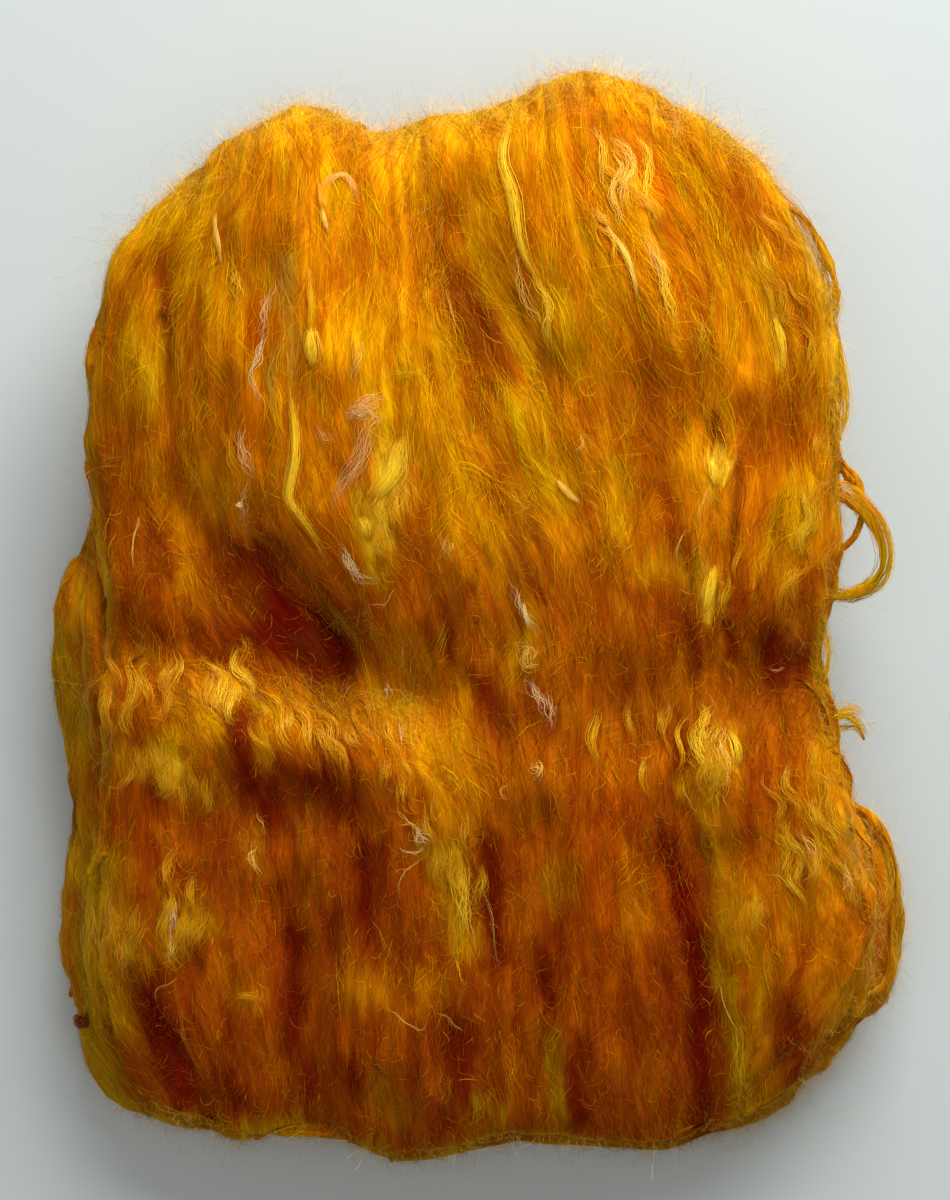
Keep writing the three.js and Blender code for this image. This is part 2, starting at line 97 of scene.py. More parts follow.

# Streaks of colour, each laid over those above it: from x, y to x, y, half width, colour, strength. Most
# are dye; some are painted shade in hollows and valleys, and the lemon ones carry painted glints.
STREAKS = [
    (-82, 101, -66, 110, 4, "mustard", 2.0),
    (-61, 110, -58, 106, 4, "amber", 2.0),
    (-47, 118, -47, 108, 2.5, "umber", 1.6),
    (-75, 100, -72, 84, 5, "mustard", 1.0),
    (-86, 90, -90, 60, 2.8, "umber", 2.2),
    (-92, 55, -90, 0, 3.6, "umber", 2.2),
    (-95, 88, -97, 22, 2.2, "mustard", 2.2),
    (-86, 69, -86, 56, 4, "mustard", 2.2),
    (-79, 70, -80, 60, 2.2, "mustard", 2.0),
    (-78, 84, -74, 67, 2.4, "umber", 2.6),
    (-77.5, 79, -77, 75, 1.2, "maroon", 2.0),
    (-71, 78, -62, 58, 3, "russet", 1.4),
    (-72, 60, -62, 58, 5, "umber", 1.2),
    (-69, 88, -70, 78, 2, "mustard", 1.6),
    (-53, 112, -53, 88, 2, "orange", 0.9),
    (-55, 79, -55.5, 68, 1.8, "vermilion", 3.0),
    (-57, 58, -54, 44, 2, "orange", 2.0),
    (-46, 106, -42, 95, 4, "amber", 1.6),
    (-49, 98, -48, 87, 3, "umber", 1.4),
    (-48, 90, -46, 62, 1.2, "smoke", 0.7),
    (-42, 86, -41, 73, 2.2, "orange", 1.4),
    (-41, 62, -41, 46, 5, "gold", 1.2),
    (-31, 114, -24, 92, 8, "bright", 0.7),
    (-17, 118, -15, 96, 4, "bright", 1.2),
    (-33, 100, -36, 88, 5, "amber", 1.8),
    (-26, 76, -8, 48, 9, "bright", 0.7),
    (-11, 117, -10, 100, 3.4, "russet", 1.5),
    (-5, 112, -5, 100, 3.2, "amber", 1.5),
    (-12, 100, -12, 90, 3, "russet", 2.6),
    # Partly dye and partly painted shade: the umber and maroon rows down to the mustard ones darken the
    # valley of the big fold.
    (-9, 94, -5, 82, 2.4, "umber", 3.2),
    (-5, 86, 5, 62, 5.0, "umber", 3.4),
    (1, 80, 9, 58, 1.6, "maroon", 2.6),
    (11, 84, 17, 68, 2.2, "umber", 3.6),
    (17, 68, 22, 57, 3.2, "maroon", 2.6),
    (3, 62, 12, 52, 3.5, "umber", 2.0),
    (-3, 106, 4, 84, 3, "mustard", 1.4),
    (4, 92, 12, 70, 2.2, "mustard", 1.6),
    (10, 72, 17, 58, 2, "mustard", 2.6),
    (5, 118, 3, 104, 3, "gold", 1.6),
    (12, 118, 20, 92, 6, "gold", 2.0),
    (17, 90, 27, 62, 2.4, "mustard", 2.6),
    (20, 133, 26, 125, 3.2, "russet", 3.2),
    (32, 126, 26, 116, 7, "amber", 1.8),
    (25, 112, 27, 100, 5, "honey", 1.4),
    (27, 98, 34, 82, 3, "mustard", 1.4),
    (28, 80, 34, 66, 6, "honey", 1.2),
    (35, 133, 48, 119, 4, "bright", 3.0),
    (49, 120, 54, 100, 3.4, "bright", 2.4),
    (40, 125, 46, 108, 3, "orange", 2.6),
    (46, 108, 50, 93, 3, "orange", 2.6),
    (46, 99, 49, 93, 2.4, "rust", 1.8),
    (51, 95, 58, 74, 4, "amber", 1.8),
    (55, 112, 62, 92, 4.5, "mustard", 2.0),
    (60, 122, 64, 108, 3.6, "russet", 1.4),
    (70, 112, 75, 101, 3.6, "bright", 1.6),
    (65, 104, 74, 92, 2.6, "rust", 2.4),
    (74, 92, 83, 77, 2.4, "rust", 2.2),
    (69, 92, 73, 80, 2.6, "bright", 1.8),
    (73, 78, 76, 64, 1.6, "lemon", 1.0),
    (60, 92, 66, 74, 5, "gold", 1.0),
    (82, 74, 84, 58, 2.2, "rust", 2.0),
    (88, 66, 91, 48, 2.4, "bright", 2.6),
    (42, 62, 44, 54, 6, "russet", 2.4),
    (54, 62, 56, 52, 5, "russet", 2.0),
    (78, 58, 77, 44, 5, "rust", 2.2),
    (68, 52, 70, 42, 5, "rust", 1.4),
    (-78, 36, -77, 24, 1.6, "orange", 1.8),
    (-81, 22, -78, 11, 2.8, "maroon", 1.8),
    (-92, 25, -92, 14, 2, "maroon", 1.2),
    (-77, 29, -72, 18, 1.6, "gold", 1.8),
    (-73, 42, -69, 31, 1.8, "gold", 1.6),
    (-64, 46, -60, 35, 2, "bright", 2.0),
    (-66, 50, -66, 38, 3.5, "amber", 1.4),
    (-66, 31, -62, 23, 2, "gold", 1.0),
    # Painted shade: these maroon, umber and russet rows, down to the one at -77, -2, darken the hollow
    # above the crease, where the surface turns away from the light.
    (-64, 20, -61, 14, 2.2, "maroon", 1.4),
    (-57, 30, -53, 15, 2.4, "maroon", 1.8),
    (-56, 12, -36, -7, 5.6, "maroon", 5.0),
    (-65, 3, -46, -6, 4.0, "maroon", 4.5),
    (-48, 11, -30, -9, 5.0, "maroon", 4.5),
    (-64, 23, -50, 8, 3.5, "maroon", 2.6),
    (-38, -2, -27, -12, 3.6, "maroon", 3.5),
    (-50, 17, -38, 6, 3, "umber", 2.4),
    (-45, 24, -42, 14, 3, "russet", 2.0),
    (-77, -2, -62, -6, 3.6, "maroon", 2.6),
    (-87, 14, -86, -4, 6, "umber", 2.0),
    (-73, 12, -68, 4, 2, "mustard", 1.8),
    (-80, 4, -74, -3, 2.4, "amber", 1.0),
    (-86, -10, -80, -14, 3.4, "mustard", 2.0),
    (-79, -12, -68, -15, 4.4, "honey", 1.8),
    (-65, -15, -60, -18, 2.6, "bright", 2.0),
    (-58, -15, -57, -20, 1.4, "bright", 1.6),
    (-72, -22, -66, -30, 4, "mustard", 2.4),
    (-51, -18, -53, -32, 2.8, "gold", 1.8),
    (-45, -20, -41, -31, 3.0, "honey", 1.8),
    (-92, -22, -86, -28, 4, "rust", 2.4),
    (-61, -24, -58, -40, 3.2, "maroon", 3.6),
    (-88, -36, -77, -34, 3.6, "mustard", 3.0),
    (-80, -36, -76, -41, 2.2, "lemon", 2.0),
    (-72, -46, -64, -44, 3, "mustard", 1.6),
    (-103, 16, -98, 0, 4, "gold", 3.0),
    (-104, -8, -101, -34, 5, "olive", 3.4),
    (-101, -36, -99, -60, 4, "mustard", 2.4),
    (-20, 45, -23, 33, 3.0, "lemon", 2.6),
    (-27, 26, -24, 20, 2.6, "lemon", 2.0),
    (-30, 32, -29, 24, 2, "mustard", 2.0),
    (-16, 52, 2, 24, 10, "bright", 3.2),
    (-14, 36, -10, 24, 4, "flame", 1.6),
    (8, 50, 14, 35, 4.5, "mustard", 2.6),
    (17, 40, 26, 20, 5, "mustard", 2.2),
    (26, 44, 30, 30, 5, "amber", 1.4),
    (-16, 26, -14, 16, 2.6, "rust", 1.8),
    (-14, 9, -2, 1, 4, "umber", 1.6),
    (-11, 2, -5, -10, 3, "maroon", 1.3),
    (5, 37, 8, 20, 2, "rust", 2.4),
    (9, 20, 15, 6, 2.2, "maroon", 2.8),
    (2, 21, 3, 12, 2.4, "mustard", 2.4),
    (-22, 12, -14, 0, 3, "rust", 1.2),
    (-28, 9, -12, -14, 3, "amber", 1.8),
    (-26, 18, -24, 12, 2.4, "mustard", 2.0),
    (7, 0, 6, -8, 2.2, "gold", 2.6),
    (10, -4, 12, -14, 4, "mustard", 1.6),
    (0, -16, 8, -28, 3.6, "maroon", 3.2),
    (13, -14, 17, -28, 3, "maroon", 2.6),
    (22, -4, 34, -30, 6, "amber", 1.2),
    (22, 0, 24, -16, 2, "rust", 1.6),
    (-26, -20, -15, -36, 5, "gold", 3.4),
    (-8, -22, -4, -38, 4, "mustard", 1.6),
    (-12, -14, -8, -22, 4, "amber", 1.6),
    (36, 36, 37, 24, 4, "mustard", 1.6),
    (44, 8, 46, -8, 4, "rust", 1.2),
    (50, -2, 54, -4, 2.4, "rust", 2.0),
    (45, 13, 55, 12, 4, "mustard", 2.0),
    (37, 0, 38, -28, 2, "rust", 2.0),
    # Lemon glints on shiny locks: their pale yellow with a painted highlight, in this row and the two
    # below.
    (59, 39, 59, 33, 1.4, "lemon", 1.5),
    (63, 40, 62, 34, 0.8, "lemon", 1.6),
    (58, 12, 57.5, 4, 1.8, "lemon", 1.5),
    (59, 50, 60, 42, 1.2, "maroon", 2.8),
    (51, 22, 52, 16, 1.4, "maroon", 2.0),
    (71, 32, 68, 20, 2.6, "flame", 1.3),
    (70, 16, 66, 2, 2, "vermilion", 1.4),
    (62, 2, 63, -6, 1.4, "maroon", 3.4),
    (54, 4, 54, -12, 1.6, "maroon", 1.8),
    (80, 30, 76, 15, 5.5, "mustard", 3.0),
    (86, 26, 84, 14, 5, "gold", 2.0),
    (86, 9, 78, 2, 3.4, "russet", 2.6),
    (73, -3, 75, -20, 3.2, "maroon", 3.4),
    (80, -10, 84, -18, 4, "maroon", 2.4),
    (86, -4, 88, -24, 1.8, "olive", 2.4),
    (78, -26, 76, -34, 3.6, "amber", 1.6),
    (90, -30, 86, -40, 4, "mustard", 2.4),
    # A lemon patch of shiny locks with a painted highlight.
    (56, -24, 58, -40, 2.0, "lemon", 1.4),
    (63, -29, 64, -37, 2, "bright", 2.4),
    (50, -26, 51, -46, 1.3, "maroon", 2.6),
    (53, -42, 60, -50, 2, "bright", 2.4),
    (-96, -62, -92, -100, 5.4, "mustard", 5.0),
    (-97, -60, -99, -92, 3, "olive", 2.6),
    (-89, -44, -84, -54, 4.5, "rust", 2.4),
    (-82, -42, -80, -50, 2, "maroon", 1.6),
    (-80, -52, -70, -62, 2.6, "amber", 1.6),
    (-84, -78, -82, -84, 2.4, "flame", 1.6),
    (-78, -69, -76, -84, 2.4, "bright", 2.4),
    (-73, -71, -69, -79, 2.6, "mustard", 3.6),
    (-66, -62, -64, -76, 3, "rust", 1.6),
    (-58, -42, -50, -49, 3.6, "maroon", 3.6),
    (-56, -54, -54, -62, 2, "mustard", 2.0),
    (-44, -38, -33, -47, 4.6, "maroon", 3.2),
    (-84, -88, -80, -102, 3, "maroon", 4.6),
    (-80, -102, -71, -121, 3.2, "maroon", 5.0),
    (-73.5, -90, -73, -96, 1.4, "vermilion", 3.0),
    (-64, -88, -58, -92, 4, "amber", 2.0),
    (-61, -93, -54, -96, 1.6, "gold", 2.4),
    (-63, -114, -59, -121, 2.6, "maroon", 2.6),
    (-46, -78, -46, -108, 2.4, "maroon", 3.0),
    (-42, -112, -44, -119, 2.6, "maroon", 2.0),
    (-56, -108, -50, -114, 4, "russet", 1.6),
    (-104, -64, -102, -70, 2, "umber", 2.0),
    (-98, -94, -92, -104, 3, "olive", 2.4),
    (-90, -108, -84, -116, 5, "umber", 1.6),
    (-100, -100, -90, -121, 2.4, "olive", 3.0),
    (-88, -123, -50, -133, 1.5, "olive", 3.0),
    (-29, -58, -28, -78, 2.6, "maroon", 3.0),
    (-36, -72, -36, -82, 2, "maroon", 1.6),
    (-6, -58, -4, -82, 3.6, "mustard", 2.6),
    (-12, -58, -8, -62, 3, "mustard", 2.4),
    (-14, -40, -6, -50, 4.5, "gold", 2.0),
    (-30, -92, -20, -96, 4.5, "gold", 1.3),
    (-18, -88, -11, -93, 3.6, "honey", 2.0),
    (-24, -80, -14, -84, 4, "rust", 0.8),
    (4, -56, 6, -88, 2.4, "maroon", 3.0),
    (16, -82, 16.5, -95, 1.4, "maroon", 3.8),
    (15, -40, 15.5, -50, 1.2, "maroon", 2.4),
    (12, -70, 12, -84, 3, "flame", 1.2),
    (20, -62, 20, -70, 2.6, "mustard", 1.2),
    (30, -56, 32, -76, 2, "vermilion", 1.4),
    (-5, -104, -3, -120, 3.4, "maroon", 3.0),
    (-32, -110, -31, -116, 2.2, "maroon", 2.4),
    (-12, -122, -8, -127, 2, "maroon", 1.8),
    (25, -106, 26, -124, 2.4, "maroon", 2.6),
    (17, -106, 21, -122, 2.2, "olive", 1.6),
    (7, -110, 9, -113, 3, "flame", 1.2),
    (-24, -118, -20, -124, 3, "olive", 1.4),
    (2, -121, 4, -123, 2.0, "olive", 1.6),
    (-50, -133, -20, -138, 1.5, "olive", 3.4),
    (-20, -138, 0, -135, 1.5, "olive", 3.4),
    (0, -135, 60, -134, 1.5, "olive", 3.0),
    (46, -54, 51, -68, 2, "maroon", 4.6),
    (51, -66, 55, -86, 2.4, "maroon", 6.0),
    (55, -86, 56, -122, 2.6, "maroon", 5.0),
    (44, -108, 50, -124, 5, "umber", 2.0),
    (36, -58, 40, -80, 3.4, "amber", 2.2),
    (34, -44, 34, -64, 1.6, "vermilion", 1.8),
    (44, -84, 42, -100, 4, "rust", 1.8),
    (45, -44, 44, -60, 2, "umber", 1.4),
    (59, -84, 65, -104, 1.8, "olive", 1.6),
    (65, -104, 66, -126, 2.0, "olive", 2.2),
    (70, -84, 73, -116, 3, "mustard", 0.9),
    (70, -122, 78, -118, 3, "olive", 2.6),
    (60, -50, 64, -80, 3.4, "mustard", 1.5),
    (70, -70, 69.5, -75, 1.4, "lemon", 1.2),
    (72, -64, 82, -62, 3.4, "amber", 2.0),
    (80, -48, 86, -52, 3, "gold", 1.6),
    (92, -44, 100, -58, 4.5, "gold", 3.0),
    (104, -56, 107, -88, 2.6, "olive", 3.0),
    (95, -72, 97, -85, 4, "orange", 2.0),
    (101, -64, 103, -84, 1.8, "russet", 1.6),
    (84, -74, 85, -90, 3, "umber", 2.8),
    (90, -92, 98, -92, 3, "rust", 2.4),
    (79, -100, 79, -114, 3.4, "maroon", 2.8),
    (88, -104, 88, -110, 3.4, "russet", 1.6),
    (92, -96, 94, -98, 2.4, "gold", 2.4),
    (84, -116, 92, -108, 2, "mustard", 2.0),
    (76, -92, 76, -100, 3, "umber", 1.6),
    (-87, 58, -86, 44, 4, "umber", 1.3),
    (-64, -50, -64, -66, 7, "umber", 1.8),
    (-42, -50, -42, -66, 7, "umber", 1.1),
    (14, -30, 14, -42, 11, "russet", 0.8),
    (26, 86, 30, 66, 5, "gold", 1.5),
    (-66, 38, -62, 28, 5, "amber", 1.6),
    (24, 18, 28, 0, 7, "amber", 1.5),
    (3, 16, 3, 2, 5, "amber", 1.2),
    (-21, -6, -19, -18, 6, "amber", 2.0),
    (98, 29, 101, 12, 3.5, "mustard", 4.0),
    (101, 12, 91, 5, 3, "mustard", 4.0),
    (87, -24, 96, -28, 3, "olive", 4.0),
    (92, -46, 100, -56, 4, "gold", 2.0),
    (98, -92, 92, -100, 3.5, "mustard", 2.4),
    (-67, 34, -62, 30, 5, "honey", 1.4),
    (-44, 38, -42, 32, 4, "gold", 1.6),
    (-43, 12, -40, 8, 3.5, "russet", 2.0),
    (-19, -10, -18, -16, 5, "honey", 1.2),
    (-86, -78, -84, -84, 4, "honey", 1.6),
    # Painted shade deepening the hollow, this row and the next.
    (-64, 9, -62, 4, 5, "umber", 1.6),
    (-42, -10, -40, -16, 4, "umber", 1.6),
    (-64, -54, -62, -64, 7, "rust", 1.6),
    (-87, -8, -86, -16, 5, "russet", 1.2),
    # Painted shade in the hollow.
    (-42, -11, -41, -15, 3, "maroon", 0.8),
    (70, 13, 72, 8, 5, "russet", 1.2),
    (48, 36, 50, 28, 5, "russet", 1.1),
    (26, 57, 28, 52, 5, "amber", 0.9),
    (84, 96, 90, 72, 2.6, "straw", 2.0),
    (90, 70, 92, 46, 2.4, "straw", 2.0),
    (-42, 84, -41, 78, 3.5, "amber", 0.9),
    (-20, 80, -18, 72, 5, "amber", 1.1),
    (-22, 106, -16, 88, 5, "amber", 1.6),
    (24, 58, 28, 50, 5, "russet", 1.0),
    (-66, -52, -64, -64, 6, "umber", 1.8),
    (-88, -76, -86, -84, 3.5, "mustard", 2.0),
    (-20, -9, -18, -17, 4, "gold", 1.6),
    (-44, 37, -42, 30, 4, "gold", 1.4),
    (-66, 36, -62, 28, 5, "gold", 1.3),
    (-20, 38, -22, 29, 3.5, "lemon", 1.6),
    # Painted shade in the hollow.
    (-66, 15, -62, 5, 5, "umber", 2.2),
    (-88, 16, -86, 4, 5, "umber", 1.2),
    (-75, -15, -73, -28, 1.8, "umber", 1.8),
    (-57, -14, -57, -25, 1.6, "umber", 1.8),
    (-48, -15, -48, -27, 1.6, "russet", 1.8),
    (-37, -17, -36, -30, 2.0, "umber", 1.6),
    (-86, -17, -85, -28, 1.8, "umber", 1.6),
    # Painted shade in the hollow.
    (-46, -9, -38, -15, 3.0, "maroon", 1.6),
    (3, 82, 6, 70, 5, "umber", 0.9),
    (72, 36, 74, 26, 5, "russet", 0.9),
    (-66, -53, -63, -63, 5, "maroon", 0.9),
    (69, -32, 72, -40, 4, "russet", 1.2),
    (-20, -9, -18, -17, 4, "bright", 1.0),
    (-64, 38, -62, 28, 4, "gold", 1.2),
    # Painted shade in the hollow.
    (-64, 12, -62, 6, 4, "maroon", 0.8),
    (-58, -129, -40, -131, 3, "olive", 2.5),
    (-40, -131, -24, -135, 3, "olive", 2.0),
    (-87, -80, -86, -86, 3, "umber", 0.8),
    # Painted shade: these umber and russet rows darken a slope that faces the light, to the tone of the
    # shaded valley across the right half.
    (46, -26, 56, -24, 5, "umber", 2.0),
    (59, -23, 66, -22, 4.5, "umber", 3.0),
    (68, -24, 86, -22, 5, "umber", 2.4),
    (26, -27, 38, -31, 6, "umber", 1.0),
    (76, -33, 84, -35, 4, "russet", 1.8),
    (80, -58, 94, -63, 8, "gold", 1.8),
    (74, -75, 92, -79, 8, "honey", 1.6),
    (78, -89, 84, -93, 5, "amber", 1.3),
    (20, 76, 23, 66, 5, "mustard", 1.6),
    (69, 76, 71, 68, 4, "honey", 1.2),
    (-72, 8, -66, 0, 5, "russet", 1.1),
    (62, 104, 68, 94, 4, "amber", 1.0),
]

# How the fibres lean: middle x, y, reach across and along, and millimetres that a fibre
# goes to the right for each one that it goes up
LEANS = [
    (43, 100, 22, 42, -0.62),
    (2, 82, 13, 38, -0.52),
    (15, 30, 20, 26, -0.50),
    (-47, 5, 24, 18, -1.00),
    (-82, 98, 15, 22, 0.65),
    (-39, 42, 14, 22, -0.12),
    (77, 96, 14, 24, -0.60),
    (-12, -35, 18, 13, -0.60),
    (-60, -22, 26, 9, -0.90),
    (-77, -108, 14, 20, -0.50),
    (53, -70, 10, 28, -0.20),
    (94, -52, 12, 18, -0.45),
    (95, -102, 13, 15, 0.95),
    (70, -112, 10, 18, 0.25),
    (74, 15, 16, 22, 0.15),
    (-96, -110, 12, 16, -0.60),
]

# How the fibres curl: middle x, y, reach across and along, swing to each side, wavelength
CURLS = [
    (-62, -20, 28, 8, 1.7, 11),
    (-30, -28, 18, 8, 1.2, 13),
    (94, -62, 10, 24, 1.7, 13),
    (59, -34, 9, 14, 1.6, 9),
    (-78, -76, 14, 12, 1.1, 10),
    (36, 108, 10, 16, 1.0, 12),
    (76, 90, 10, 20, 1.0, 14),
    (-10, -60, 12, 16, 0.9, 9),
    (80, 12, 12, 26, 1.0, 12),
]
CALM_SWING = 0.35                # swing and wavelength elsewhere
CALM_WAVE = 24
SHORTEST_WAVE = 5

# Kinds of lock: swing, wavelength, how far its strands part, their least and most width, how
# many there are to a millimetre of the lock's width, and how strong a glint is painted on them
KINDS = {
    "sleek": (0.25, 13, 0.15, 0.06, 0.14, 24, 0.60),
    "wavy": (0.80, 8, 0.45, 0.05, 0.11, 12, 0.45),
    "wispy": (0.70, 7, 0.90, 0.045, 0.09, 12, 0.05),
    "thread": (0.45, 5, 0.25, 0.04, 0.08, 5, 0.05),
    "tress": (0.15, 9, 0.60, 0.045, 0.10, 14, 0.60),
}

